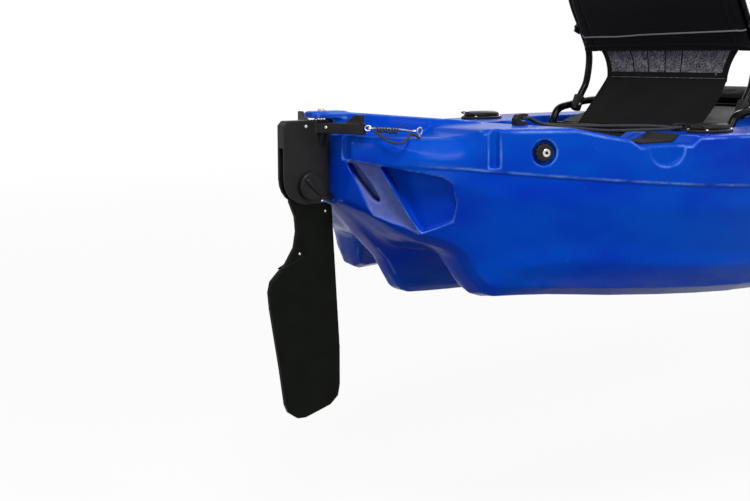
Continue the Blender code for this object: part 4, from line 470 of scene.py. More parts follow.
# Sling webbing: a coarse weave under the cushions, its dark grey a painted sheen of the light from above, with a soft
# sheen of its own
SLING = woven("sling_webbing", "black_fabric", "#2a2a2b", "#4a4949", 0.0022, 0.2)


# Pieces


def linked(name, data):
    """A new object in the scene."""
    obj = bpy.data.objects.new(name, data)
    bpy.context.scene.collection.objects.link(obj)
    return obj


def clad(mesh, material, angle):
    """Gives a mesh its finish, smooth but for the edges that are sharper than the angle."""
    mesh.materials.clear()
    mesh.materials.append(material)
    mesh.shade_smooth()
    mesh.set_sharp_from_angle(angle=math.radians(angle))


def modify(obj, name, kind, **settings):
    """Adds one modifier with its settings."""
    step = obj.modifiers.new(name, kind)
    for key, value in settings.items():
        setattr(step, key, value)
    return step


def piece(name, mesh, material, body, angle=40):
    """Places a mesh as a piece of the object that rides on a body."""
    mesh.name = name
    obj = linked(name, mesh)
    clad(mesh, material, angle)
    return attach(obj, body) if body else obj


def meshed(bm):
    """Turns a closed bmesh into a mesh with outward normals."""
    bmesh.ops.recalc_face_normals(bm, faces=bm.faces)
    mesh = bpy.data.meshes.new("form")
    bm.to_mesh(mesh)
    bm.free()
    return mesh


def joined(meshes):
    """One mesh of several closed ones, such as the tubes of a frame."""
    bm = bmesh.new()
    for mesh in meshes:
        bm.from_mesh(mesh)
        bpy.data.meshes.remove(mesh)
    made = bpy.data.meshes.new("form")
    bm.to_mesh(made)
    bm.free()
    return made


def lofted(rings):
    """A skin over rings with the same number of points, closed by the first and the last one."""
    bm = bmesh.new()
    rows = [[bm.verts.new(point) for point in ring] for ring in rings]
    count = len(rows[0])
    for low, high in zip(rows, rows[1:]):
        for i in range(count):
            bm.faces.new((low[i], low[(i + 1) % count], high[(i + 1) % count], high[i]))
    bm.faces.new(rows[0])
    bm.faces.new(rows[-1])
    return meshed(bm)


def smooth_route(points, steps):
    """Points along a smooth curve through the given ones."""
    ends = [Vector(p) for p in points]
    ends = [2 * ends[0] - ends[1], *ends, 2 * ends[-1] - ends[-2]]
    route = []
    for a, b, c, d in zip(ends, ends[1:], ends[2:], ends[3:]):
        for i in range(steps):
            t = i / steps
            route.append(0.5 * (2 * b + (c - a) * t + (2 * a - 5 * b + 4 * c - d) * t * t
                                + (3 * b - a - 3 * c + d) * t ** 3))
    return [*route, ends[-2]]


def square_ended(points, steps):
    """A smooth route whose first and last pieces stay straight, so that its ends are square."""
    return [Vector(points[0]), *smooth_route(points[1:-1], steps), Vector(points[-1])]


def tubular(route, radius, sides=12, taper=0.35):
    """A round tube or cord along the route, with slightly domed ends."""
    rings = []
    side = Vector((0, 0, 1)).cross(route[1] - route[0])
    side = side.normalized() if side.length > 1e-6 else Vector((0, 1, 0))
    last = len(route) - 1
    for i, here in enumerate(route):
        way = (route[min(i + 1, last)] - route[max(i - 1, 0)]).normalized()
        side = (side - way * side.dot(way)).normalized()
        up = way.cross(side)
        for end, shift, share in (((i == 0), -taper, 0.6), (True, 0, 1), ((i == last), taper, 0.6)):
            if end:
                rings.append([here + way * radius * shift
                              + (side * math.cos(a) + up * math.sin(a)) * radius * share
                              for a in (math.tau * k / sides for k in range(sides))])
    return lofted(rings)


def turned(profile, centre, axis, sides=32):
    """A turned body: (radius, height) pairs along the axis, from one end to the other."""
    turn = Vector((0, 0, 1)).rotation_difference(Vector(axis)).to_matrix()
    rings = []
    for radius, height in profile:
        radius = max(radius, 1e-5)
        rings.append([Vector(centre) + turn @ Vector((radius * math.cos(a), radius * math.sin(a), height))
                      for a in (math.tau * k / sides for k in range(sides))])
    return lofted(rings)


def slab(low, high, matrix=None, round_off=0.0008):
    """A small moulded block between two corners, with every edge rounded."""
    bm = bmesh.new()
    bmesh.ops.create_cube(bm, size=1)
    for vert in bm.verts:
        vert.co = [a if c < 0 else b for c, a, b in zip(vert.co, low, high)]
    bmesh.ops.bevel(bm, geom=bm.edges, offset=round_off, segments=2, affect="EDGES", profile=0.5)
    if matrix:
        bmesh.ops.transform(bm, matrix=matrix, verts=bm.verts)
    return meshed(bm)


def pan_head(centre, axis, radius):
    """A pan-head screw with a deep socket in its middle."""
    rise = 0.55 * radius
    profile = [(0, 0.2 * rise), (0.40 * radius, 0.2 * rise), (0.42 * radius, 0.95 * rise), (0.50 * radius, rise),
               (0.76 * radius, 0.88 * rise), (0.94 * radius, 0.55 * rise), (radius, 0.15 * rise), (radius, 0), (0, 0)]
    return turned(profile, centre, axis, 20)


def rounded(corners, radius, count=6):
    """The corners of a convex outline, each replaced by an arc."""
    outline = []
    for i, corner in enumerate(corners):
        here = Vector(corner)
        back = (Vector(corners[i - 1]) - here).normalized()
        on = (Vector(corners[(i + 1) % len(corners)]) - here).normalized()
        half = back.angle(on) / 2
        reach = radius / math.tan(half)
        start, end = here + back * reach, here + on * reach
        centre = here + (back + on).normalized() * radius / math.sin(half)
        for k in range(count + 1):
            ray = (start - centre).lerp(end - centre, k / count).normalized()
            outline.append(tuple(centre + ray * radius))
    return outline


def oblong(aft, low, fore, high):
    """The four corners of an outline between two values each way."""
    return (aft, low), (fore, low), (fore, high), (aft, high)


def divided(outline, parts):
    """A closed outline with every side cut into that many parts."""
    return [(x + (u - x) * i / parts, y + (v - y) * i / parts)
            for (x, y), (u, v) in zip(outline, outline[1:] + outline[:1]) for i in range(parts)]


def shaped(obj):
    """The object's mesh as its modifiers leave it."""
    return bpy.data.meshes.new_from_object(obj.evaluated_get(bpy.context.evaluated_depsgraph_get()))


def skin_tree(mesh):
    """A mesh's skin, to be asked for its nearest place or for the place that a ray meets."""
    return BVHTree.FromPolygons([v.co for v in mesh.vertices], [p.vertices[:] for p in mesh.polygons])


def cad_copy(node):
    """A copy of a CAD node's mesh with its flat faces joined up."""
    bm = bmesh.new()
    bm.from_mesh(NODES[node].data)
    bmesh.ops.remove_doubles(bm, verts=bm.verts, dist=0.00002)
    bmesh.ops.dissolve_limit(bm, angle_limit=math.radians(0.5), verts=bm.verts, edges=bm.edges)
    return meshed(bm)


def eased(node, material, width, angle=35):
    """A finer copy of a rigid CAD node: its edges are rounded as the mould rounds them, and it stands for the node."""
    obj = piece(f"{node}_moulded", cad_copy(node), material, BODY_OF[node], angle)
    modify(obj, "rounded edges", "BEVEL", width=width, segments=3, limit_method="ANGLE",
           angle_limit=math.radians(angle), harden_normals=True)
    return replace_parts(obj, node)


def cast(node, material, voxel, steps, near=None):
    """A finer copy of a rigid CAD node, rounded all over as its mould leaves it; it stands for the node."""
    form = linked("form", cad_copy(node))
    modify(form, "even skin", "REMESH", mode="VOXEL", voxel_size=voxel * 1)
    modify(form, "rounded", "SMOOTH", factor=0.5, iterations=steps)
    modify(form, "fewer faces", "DECIMATE", ratio=0.3)
    mesh = shaped(form)
    bpy.data.objects.remove(form)
    if near:
        held_to_cad(mesh, node, near)
    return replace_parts(piece(f"{node}_moulded", mesh, material, BODY_OF[node], 180), node)


def place_on(points, side=1):
    """Points given as (forward of the transom, to the side, height), in the row's frame."""
    return [Vector((stern(d), side * y, z)) for d, y, z in points]


def route_length(route):
    return sum((b - a).length for a, b in zip(route, route[1:]))


def hoop(route, radius):
    """A thin cord or bead that closes on itself."""
    return tubular(route + route[:1], radius, 8)


# Cords


def steering_wires():
    """The steering wires from the yoke to the screw eyes."""
    for side, word in SIDES:
        route = smooth_route(place_on(STEERING_WIRE, side), 6)
        wire = piece(f"steering_wire_{word}", tubular(route, WIRE_RADIUS, 8), WIRE, None)
        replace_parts(wire, f"steering_cable_{word}")
        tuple(route[-1])
        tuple(route[0])
        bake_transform(wire)
        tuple(route[0])
        route_length(route)


def lift_line():
    """The rudder's lift line, hanging in a bight beside the starboard eye."""
    route = smooth_route(place_on(LIFT_LINE), 5)
    line = piece("lift_line_cord", tubular(route, LINE_RADIUS, 10), CORD, None)
    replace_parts(line, "lift_line")
    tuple(route[-1])
    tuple(route[0])
    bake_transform(line)
    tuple(route[0])
    route_length(route)


def bungee():
    """The doubled elastic cord from the hook, along the tankwell and through the pad eye."""
    route = smooth_route(place_on([*BUNGEE_INNER, *BUNGEE_TURN, *BUNGEE_OUTER], -1), 4)
    cord = piece("bungee_cord", tubular(route, BUNGEE_RADIUS, 12), ELASTIC, "boat")
    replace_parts(cord, "bungee")
    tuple(route[0])
    route_length(route)


# Hull


def fineness(x):
    """How much finer the skin's faces are at a place along the hull: the stern's small forms need smaller ones."""
    return FINE_STERN + (FINE_REST - FINE_STERN) * min(1, max(0, (x - FINE_FROM) / (FINE_TO - FINE_FROM)))


def spread(x):
    """The hull's length as it is drawn out for the even skin."""
    t = min(max(x - FINE_FROM, 0), FINE_TO - FINE_FROM)
    return FINE_STERN * (min(x, FINE_FROM) + t) + FINE_CHANGE * t * t / 2 + FINE_REST * max(0, x - FINE_TO)


def unspread(far):
    """The place along the hull that a drawn-out length stands for."""
    start, end = spread(FINE_FROM), spread(FINE_TO)
    if far <= start:
        return far / FINE_STERN
    if far >= end:
        return FINE_TO + (far - end) / FINE_REST
    return FINE_FROM + (math.sqrt(FINE_STERN ** 2 + 2 * FINE_CHANGE * (far - start)) - FINE_STERN) / FINE_CHANGE


def mould_edges(bm):
    """Points along the hull's moulded edges, and along those of them that stick out and get the painted highlight."""
    every, outer = [], []
    for edge in bm.edges:
        if not edge.is_manifold or edge.calc_face_angle() < MOULD_EDGE:
            continue
        a, b = (vert.co.copy() for vert in edge.verts)
        count = max(1, round((b - a).length / (0.003 if a.x < FINE_FROM else 0.008)))
        points = [a.lerp(b, i / count) for i in range(count + 1)]
        every += points
        if edge.calc_face_angle_signed() > OUTER_EDGE:
            outer += points
    return every, outer


def nearest_of(points):
    tree = KDTree(len(points))
    for i, point in enumerate(points):
        tree.insert(point, i)
    tree.balance()
    return tree


def gentle(x, start, end):
    """A soft step from 0 at the start to 1 at the end."""
    t = min(1, max(0, (x - start) / (end - start)))
    return t * t * (3 - 2 * t)


def inside(outline, x, y):
    """Whether a point lies inside an outline."""
    within = False
    for (a, b), (c, d) in zip(outline, outline[1:] + outline[:1]):
        if (b > y) != (d > y) and x < a + (c - a) * (y - b) / (d - b):
            within = not within
    return within


def drawn_out(bm):
    """Draws the hull out and swells it where its skin is to be finer, after cuts that let its faces follow."""
    for i in range(19):
        place = (FINE_FROM + (FINE_TO - FINE_FROM) * i / 18, 0, 0)
        bmesh.ops.bisect_plane(bm, geom=bm.verts[:] + bm.edges[:] + bm.faces[:], plane_co=place, plane_no=(1, 0, 0))
    for vert in bm.verts:
        k = fineness(vert.co.x)
        vert.co = (spread(vert.co.x), k * vert.co.y, k * vert.co.z)


def hull_shell():
    """The hull as it leaves the mould: an even skin, fair between its edges, whose edges keep the mould's radius."""
    bm = bmesh.new()
    bm.from_mesh(NODES["hull"].data)
    bmesh.ops.remove_doubles(bm, verts=bm.verts, dist=0.00002)
    every, outer = mould_edges(bm)
    edges, highlit_edges = nearest_of(every), nearest_of(outer)
    drawn_out(bm)
    shell = linked("hull_form", bpy.data.meshes.new("hull_form"))
    bm.to_mesh(shell.data)
    bm.free()
    modify(shell, "even skin", "REMESH", mode="VOXEL", voxel_size=SKIN_VOXEL * 1)
    shell.data = shaped(shell)
    shell.modifiers.clear()
    free = shell.vertex_groups.new(name="free of edges")
    groups = [[] for _ in range(11)]
    for vert in shell.data.vertices:
        x = unspread(vert.co.x)
        k = fineness(x)
        vert.co = (x, vert.co.y / k, vert.co.z / k)
        share = 0 if beside_pedals(vert.co) else gentle(edges.find(vert.co)[2], *EDGE_BLEND)
        if x >= FINE_FROM:
            share *= max(0.15, (k / FINE_STERN) ** 2)
        groups[round(10 * share)].append(vert.index)
    for i, group in enumerate(groups):
        free.add(group, i / 10, "REPLACE")
    modify(shell, "fair between edges", "SMOOTH", vertex_group=free.name, factor=0.5,
           iterations=80)
    modify(shell, "drawn edges", "SMOOTH", factor=0.5, iterations=2)
    modify(shell, "fewer faces", "DECIMATE", ratio=0.34)
    mesh = shaped(shell)
    bpy.data.objects.remove(shell)
    chine_ridge(mesh)
    for vert in mesh.vertices:
        vert.co.y = max(CAD_BOX[0][1], min(CAD_BOX[1][1], vert.co.y))
    held_to_cad(mesh, "hull", beside_pedals)
    dust_and_highlight(mesh, highlit_edges)
    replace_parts(piece("hull_shell", mesh, HULL_PLASTIC, "boat", 180), "hull")


def chine_ridge(mesh):
    """Draws the skin out along the chine, so that the side and the band below it meet in a soft ridge."""
    for vert in mesh.vertices:
        forward = vert.co.x - stern(0)
        if CHINE_LINE[0][0] < forward < CHINE_LINE[-1][0] and abs(vert.co.y) > 0.17:
            away = abs(vert.co.z - fair(CHINE_LINE, forward)) / CHINE_HALF
            share = gentle(forward, 0.19, 0.26) * (1 - gentle(forward, 3.0, 3.9))
            out = abs(vert.co.y) + CHINE_RISE * max(0, 1 - away) ** 1.2 * share
            vert.co.y = math.copysign(min(out, max(abs(vert.co.y), CAD_BOX[1][1] - 0.0004)), vert.co.y)


def held_to_cad(mesh, node, near):
    """Keeps a finer skin exactly on its CAD node wherever another piece runs or turns close to it."""
    tree = skin_tree(NODES[node].data)
    for vert in mesh.vertices:
        if near(vert.co):
            vert.co = tree.find_nearest(vert.co)[0]


def beside_pedals(point):
    """Whether a point of the hull is in a footwell, where a pedal slides."""
    return any(aft < point.x - stern(0) < fore and abs(abs(point.y) - offset) < 0.105 and point.z < 0.32
               for aft, fore, offset in FOOTWELLS)


def dust_and_highlight(mesh, highlit_edges):
    """Marks the painted highlight along the skin's outer edges, and where the gill panels are dusty."""
    highlight_and_scuffs = mesh.attributes.new("highlight_and_scuffs", "FLOAT", "POINT")
    dusty = mesh.attributes.new("dusty", "FLOAT", "POINT")
    corner, end = (Vector((stern(d), y)) for d, y in GILL_LINE)
    way = (end - corner).normalized()
    for vert in mesh.vertices:
        # painted highlight along the outer edges, fading out over its width
        highlight_and_scuffs.data[vert.index].value = 1 - gentle(highlit_edges.find(vert.co)[2], *EDGE_HIGHLIGHT_WIDTH)
        if vert.co.x < stern(0.16) and 0.18 < vert.co.z < 0.33:
            along = (Vector((vert.co.x, abs(vert.co.y))) - corner).dot(way)
            dusty.data[vert.index].value = float(inside(GILL_PANEL, along, vert.co.z))


# Rudder


def rudder():
    """The head, the blade, the knob and the bracket, with the small forms that they carry."""
    cast("rudder_head", NYLON, 0.0011, 6)
    cast("rudder_blade", BLADE_PLASTIC, 0.0014, 4,
         lambda p: math.hypot(p.x - stern(PIVOT_AT[0]), p.z - PIVOT_AT[1]) < BOLT_CLEAR)
    cast("rudder_knob", NYLON, 0.0007, 3)
    cast("rudder_bracket", COATED, 0.0009, 3)
    yoke_webs()
    rudder_screws()
    blade_beads()
    knob_ridge()


def yoke_webs():
    """The webs that stiffen the yoke's arms from below, lower towards the head."""
    webs = []
    for side in (1, -1):
        rings = []
        for i in range(9):
            t = i / 8
            low = WEB_LOW - WEB_DEEP * (1 - t) ** 2.4
            corners = oblong(stern(-0.0305 + 0.003 * t), low, stern(-0.0180), WEB_TOP)
            rings.append([Vector((x, side * (0.010 + 0.021 * t), z)) for x, z in rounded(corners, 0.0004, 2)])
        webs.append(lofted(rings))
    piece("yoke_webs", joined(webs), NYLON, "rudder")


def paired_heads(x, y, z, radius, axis=(0, 1, 0)):
    """Two pan heads, one on each side of the boat's middle plane."""
    return [pan_head((x, side * y, z), (axis[0], side * axis[1], axis[2]), radius) for side in (1, -1)]


def rudder_screws():
    """The screws through the head, those at the feet of its yoke, and those of the blade."""
    heads = paired_heads(stern(HEAD_SCREW[0]), HEAD_HALF, HEAD_SCREW[1], SCREW_RADIUS)
    heads += paired_heads(stern(YOKE_SCREW[0]), YOKE_SCREW[1], YOKE_SCREW[2], SCREW_RADIUS, (-0.94, 0.33, 0))
    piece("head_screws", joined(heads), STEEL, "rudder")
    heads = [head for d, z in BLADE_SCREWS for head in paired_heads(stern(d), BLADE_HALF, z, 0.75 * SCREW_RADIUS)]
    piece("blade_screws", joined(heads), STEEL, "rudder_blade")


def blade_beads():
    """The raised bead on each face of the blade."""
    beads = []
    for side in (1, -1):
        ends = [Vector((stern(d), side * BLADE_HALF, z)) for d, z in BLADE_BEAD]
        beads.append(tubular([ends[0].lerp(ends[1], i / 8) for i in range(9)], 0.0016, 8, taper=0.9))
    piece("blade_beads", joined(beads), BLADE_PLASTIC, "rudder_blade")


def knob_ridge():
    """The finger ridge across the knob's face, and the rim round it."""
    x, z = stern(PIVOT_AT[0]), PIVOT_AT[1]
    ridge = Matrix.Translation((x, -KNOB_FACE, z)) @ Matrix.Rotation(RIDGE_TURN, 4, "Y")
    rim = [Vector((x + KNOB_RIM * math.cos(a), -KNOB_FACE - 0.0002, z + KNOB_RIM * math.sin(a)))
           for a in (math.tau * i / 48 for i in range(49))]
    parts = [slab(*RIDGE, ridge, 0.0026), tubular(rim, 0.0011, 8)]
    piece("knob_ridge", joined(parts), NYLON, "rudder_knob")


def rigging():
    """The shackles and crimped sleeves at the ends of the steering wires, and the lashings beside them."""
    for side, word in SIDES:
        route = smooth_route(place_on(STEERING_WIRE, side), 6)
        bow = [route[0] + Vector((0.0052 * math.cos(a) - 0.002, 0.0022 * side * math.cos(a), 0.0046 * math.sin(a)))
               for a in (math.tau * i / 20 for i in range(19))]
        parts = [tubular(bow, 0.0011, 8), tubular(route[2:7], SLEEVE_RADIUS, 12)]
        piece(f"shackle_{word}", joined(parts), STEEL, "rudder")
        piece(f"eye_sleeve_{word}", tubular(route[-6:-2], SLEEVE_RADIUS, 12), STEEL, "boat")
        low, high = place_on(LASHING, side)
        way = (high - low).normalized()
        out = way.cross(Vector((0, 0, 1))).normalized()
        up = out.cross(way)
        turns = []
        for i in range(91):
            angle = math.tau * LASHING_TURNS * i / 90
            wide = 0.0042 + 0.0009 * math.sin(3.1 * i / 9)
            turns.append(low.lerp(high, i / 90) + (out * math.cos(angle) + up * math.sin(angle)) * wide)
        tail = smooth_route(place_on(LASHING_TAIL, side), 5)
        parts = [tubular(turns, 0.0015, 8), tubular(tail, 0.0010, 8)]
        lashing = piece(f"lashing_{word}", joined(parts), CORD, None)
        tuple(route[-1])
        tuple(route[0])
        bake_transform(lashing)


# Deck fittings


def side_plugs():
    """The side plugs, each with a stainless cap screw in its middle."""
    for side, word in SIDES:
        cast(f"side_plug_{word}", NYLON, 0.0007, 3)
        low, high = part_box(f"side_plug_{word}")
        middle = (Vector(low) + Vector(high)) / 2
        outward = Vector((-0.42, side, 0)).normalized()
        face = middle + outward * 0.0058 + Vector((0.0022, 0, 0))
        piece(f"plug_screw_{word}", turned(PLUG_SCREW, face, outward, 28), STEEL, "boat")


def rod_holders():
    """The rod holders' flanges and caps, with a thin bail at each cap's aft end and screws through the flange."""
    for side, word in SIDES:
        cast(f"rod_holder_{word}", NYLON, 0.0010, 4)
        cast(f"rod_cap_{word}", NYLON, 0.0010, 5)
        x, y, z = stern(ROD_AT[0]) - 0.047, side * ROD_AT[1], ROD_HEIGHT + 0.0125
        loop = [(x + a, y + b, z + c) for a, b, c in [*CAP_BAIL, *((a, -b, c) for a, b, c in CAP_BAIL[-2::-1])]]
        piece(f"cap_bail_{word}", tubular(smooth_route(loop, 4), 0.0014, 8), NYLON, f"rod_cap_{word}")
        places = [(stern(ROD_AT[0]) + way * ROD_SCREWS[0], side * ROD_AT[1] + across * ROD_SCREWS[1])
                  for way in (-1, 1) for across in (-1, 1)]
        piece(f"rod_holder_screws_{word}", screws_on(f"rod_holder_{word}_moulded", places, 0.0034), STEEL, "boat")


def deck_fittings():
    """The hook, the pad eye, the foam mats, the handles and the tracks with their screws."""
    cast("bungee_hook", NYLON, 0.0008, 4)
    cast("bungee_eye", NYLON, 0.0007, 4)
    for end in ("rear", "front"):
        eased(f"{end}_deck_mat", FOAM, 0.0016)
    for side, word in SIDES:
        cast(f"gear_track_{word}", NYLON, 0.0010, 2)
        heads = [pan_head((stern(TRACK_AFT + TRACK_LENGTH * share), side * TRACK_AT, RIM_HEIGHT + 0.0033), (0, 0, 1),
                          0.0045) for share in TRACK_SCREWS]
        piece(f"track_screws_{word}", joined(heads), STEEL, "boat")
        cast(f"side_handle_{word}", RUBBER, 0.0010, 5)
    cast("bow_handle", RUBBER, 0.0010, 5)


def notch_pads():
    """The rubber pads on the low shelves of the notches in the rims."""
    tree = skin_tree(bpy.data.objects["hull_shell"].data)
    (aft, inner), (long, wide) = NOTCH_SHELF
    for side, word in SIDES:
        def place(u, v):
            above = Vector((stern(aft) + long * u, side * (inner + wide * v), 0.5))
            return tree.ray_cast(above, Vector((0, 0, -1)))[0] + Vector((0, 0, 0.0018))
        piece(f"notch_pad_{word}", sheet_skin(place, 12, 16, 0.0030), RUBBER, "boat", 50)


def bow_hatch():
    """The lid with its two raised beads, the knob, and the battery with its terminals in the bucket below."""
    cast("hatch_lid", NYLON, 0.0022, 5)
    cast("hatch_knob", NYLON, 0.0008, 4)
    cast("battery", NYLON, 0.0018, 3)
    low, high = (Vector(corner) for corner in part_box("hatch_lid"))
    lid = bpy.data.objects["hatch_lid_moulded"].data
    for name, inset, radius, lift in HATCH_BEADS:
        aft, fore, wide, narrow = low.x + inset, high.x - inset, HATCH_HALF_AFT - inset, HATCH_HALF_FORE - inset
        around = rounded(((aft, -wide), (fore, -narrow), (fore, narrow), (aft, wide)), 0.04, 8)
        bead = on_surface(lid, [Vector((x, y, high.z)) for x, y in divided(around, 6)], lift)
        piece(name, hoop(bead, radius), NYLON, "hatch_lid")
    low, high = (Vector(corner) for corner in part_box("battery"))
    middle = (low + high) / 2
    posts = [turned(TERMINAL, (middle.x + end * TERMINAL_AT[0], TERMINAL_AT[1], high.z), (0, 0, 1), 20)
             for end in (1, -1)]
    piece("battery_terminals", joined(posts), STEEL, "boat")
    seam = [Vector((x, y, high.z - BATTERY_SEAM)) for x, y in rounded(oblong(low.x, low.y, high.x, high.y), 0.007, 5)]
    piece("battery_seam", hoop(seam, 0.0014), RUBBER, "boat")


# Drive and steering


def drive():
    """The drive's housing, leg, throttle and bail, with their fasteners and the nut behind the propeller."""
    cast("drive_housing", NYLON, 0.0022, 4)
    cast("drive_leg", NYLON, 0.0018, 4)
    cast("throttle_lever", NYLON, 0.0008, 4)
    cast("drive_bail", TUBE, 0.0009, 5)
    low, high = (Vector(corner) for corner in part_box("drive_housing"))
    in_from, out_to = HOUSING_SCREWS
    places = [(x, side * out_to) for x in (low.x + in_from, high.x - in_from) for side in (-1, 1)]
    piece("housing_screws", screws_on("drive_housing_moulded", places, 0.0055), STEEL, "drive")
    around = divided(rounded(oblong(low.x, low.y, high.x, high.y), 0.03, 8), 8)
    seam = on_surface(bpy.data.objects["drive_housing_moulded"].data,
                      [Vector((x, y, high.z - HOUSING_SEAM)) for x, y in around], -0.0002)
    piece("housing_seam", hoop(seam, 0.0013), RUBBER, "drive")
    low, high = (Vector(corner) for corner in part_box("propeller"))
    nut = turned(PROPELLER_NUT, (low.x, 0, PROPELLER_HEIGHT), (-1, 0, 0), 24)
    piece("propeller_nut", nut, STEEL, "propeller")
    at, forward, height = THROTTLE_HUB
    caps = paired_heads(stern(at) + forward, 0.0148, height, 0.0070)
    piece("throttle_screws", joined(caps), STEEL, "throttle")


def steering():
    """The steering lever on its round base."""
    cast("steering_base", NYLON, 0.0011, 4)
    cast("steering_lever", NYLON, 0.0009, 4)
    low, high = (Vector(corner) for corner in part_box("steering_base"))
    middle = (low + high) / 2
    piece("lever_screw", screws_on("steering_lever_moulded", [(middle.x, middle.y)], 0.0075), STEEL, "steering_lever")
    places = [(middle.x + BASE_SCREWS * math.cos(a), middle.y + BASE_SCREWS * math.sin(a))
              for a in (math.radians(30 + 120 * i) for i in range(3))]
    piece("base_screws", screws_on("steering_base_moulded", places, 0.0024), STEEL, "boat")


def pedals():
    """The foot pedals with their ribbed rubber faces."""
    for end, at, offset, ground in PEDALS:
        for side, word in SIDES:
            node = f"{end}_pedal_{word}"
            cast(node, NYLON, 0.0013, 4)
            upright = Matrix(((0, 0, 1, stern(at)), (1, 0, 0, side * offset), (0, 1, 0, ground + 0.004), (0, 0, 0, 1)))
            leaning = upright @ Matrix.Rotation(PEDAL_LEAN, 4, "X")
            ribs = [slab((-0.030, 0.022 + RIB_PITCH * i, -0.0082), (0.030, 0.0285 + RIB_PITCH * i, -0.0050),
                         leaning, 0.0009) for i in range(PEDAL_RIBS)]
            piece(f"{node}_ribs", joined(ribs), RUBBER, node)


# Seats


def seat_point(base, forward, up, side=0):
    """A point of a seat in the row's frame, from its side view."""
    return Vector((stern(base) + forward, side, SEAT_GROUND + up))


def back_profile(up):
    """How far forward of the rear foot the back tube's middle is, at a height above the foot."""
    return fair([(z, x) for x, z in (BACK_PIVOT, *BACK_TUBE, BACK_CROWN)], up)


def seat_sled(word, base):
    """The bent rails and crossbars under a seat, the pivot bolts, and the rubber feet."""
    tubes, bolts, feet = [], [], []
    for side in (1, -1):
        route = square_ended([seat_point(base, x, z, side * RAIL_SPREAD) for x, z in SLED], 7)
        tubes.append(tubular(route, RAIL_RADIUS, 20, taper=0))
        inner = BACK_SPREAD - BACK_TUBE_RADIUS - 0.003
        pin = [seat_point(base, *BACK_PIVOT, side * y) for y in (inner, RAIL_SPREAD)]
        bolts.append(tubular(pin, SEAT_PIN_RADIUS, 16))
        bolts.append(pan_head(seat_point(base, *BACK_PIVOT, side * (RAIL_SPREAD + RAIL_RADIUS - 0.0008)), (0, side, 0),
                              0.0062))
        for (x, z), height in ((SLED[0], 0.011), (SLED[-1], 0.016)):
            profile = [(0, 0), (0.0105, 0), (0.0116, 0.0012), (0.0116, height - 0.001), (0.0108, height), (0, height)]
            feet.append(turned(profile, seat_point(base, x, z, side * RAIL_SPREAD), (0, 0, 1), 24))
    for x, z in CROSSBARS:
        bar = [seat_point(base, x, z, y * RAIL_SPREAD) for y in (-1, -0.5, 0, 0.5, 1)]
        tubes.append(tubular(bar, CROSSBAR_RADIUS, 20))
    sled = piece(f"{word}_seat_sled_tubes", joined(tubes), TUBE, "boat")
    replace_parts(sled, f"{word}_seat_sled")
    seat_sling(word, base)
    piece(f"{word}_seat_bolts", joined(bolts), STEEL, "boat")
    piece(f"{word}_seat_feet", joined(feet), RUBBER, "boat")


def seat_sling(word, base):
    """The webbing stretched from the rear crossbar up to the next one, under the cushion's edge."""
    def place(u, v):
        (aft, low), (fore, high) = SLING_LINE
        x = aft + (fore - aft) * v
        up = low + (high - low) * v ** 0.8 + 0.0035 * math.sin(math.pi * v) * (1 - 0.4 * u * u)
        return seat_point(base, x, up, SLING_HALF * u)
    sling = piece(f"{word}_seat_sling", sheet_skin(place, 16, 40, 0.0022), SLING, "boat", 60)


def back_frame(word, base):
    """The bent tube of a seat's back, with a hinge shoe over the foot of each leg."""
    leg = [(BACK_PIVOT[0] - 0.006, BACK_PIVOT[1] - 0.014), BACK_PIVOT, *BACK_TUBE]
    route = [seat_point(base, x, z, BACK_SPREAD) for x, z in leg]
    top_x, top_z = BACK_CROWN
    for drop, inward in ((0.022, 0.004), (0.006, 0.020), (0, 0.045)):
        route.append(seat_point(base, back_profile(top_z - drop), top_z - drop, BACK_SPREAD - inward))
    route.append(seat_point(base, top_x, top_z, 0.08))
    mirrored = [Vector((p.x, -p.y, p.z)) for p in reversed(route)]
    tube = piece(f"{word}_back_tube", tubular(square_ended(route + mirrored, 6), BACK_TUBE_RADIUS, 20, taper=0),
                 TUBE, f"{word}_back")
    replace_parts(tube, f"{word}_seat_back_frame")
    shoes = []
    for side in (1, -1):
        at = seat_point(base, SHOE_AT[0], SHOE_AT[1], side * SHOE_AT[2])
        turn = Matrix.Translation(at) @ Matrix.Rotation(BACK_LEAN, 4, "Y")
        shoes.append(slab((-0.0108, -0.0098, -0.0160), (0.0108, 0.0098, 0.0240), turn, 0.0040))
    piece(f"{word}_hinge_shoes", joined(shoes), NYLON, f"{word}_back")


def filled(mesh, voxel, reach, floor_at=None):
    """Blows a sewn form up a little, as its filling does: no point moves further than the reach."""
    obj = linked("form", mesh)
    modify(obj, "even cloth", "REMESH", mode="VOXEL", voxel_size=voxel)
    obj.data = shaped(obj)
    obj.modifiers.clear()
    start = [vert.co.copy() for vert in obj.data.vertices]
    cloth = modify(obj, "cloth", "CLOTH").settings
    cloth.use_pressure = True
    cloth.uniform_pressure_force = PRESSURE
    cloth.effector_weights.gravity = 0
    for step in range(1, 21):
        bpy.context.scene.frame_set(step)
    obj.data = shaped(obj)
    obj.modifiers.clear()
    bpy.context.scene.frame_set(1)
    for vert, rest in zip(obj.data.vertices, start):
        move = vert.co - rest
        if move.length > reach:
            vert.co = rest + move * (reach / move.length)
        if floor_at is not None and vert.co.z < floor_at:
            vert.co.z = floor_at
    modify(obj, "soft", "SMOOTH", iterations=2)
    modify(obj, "finer", "SUBSURF", levels=1)
    mesh = shaped(obj)
    bpy.data.objects.remove(obj)
    return mesh


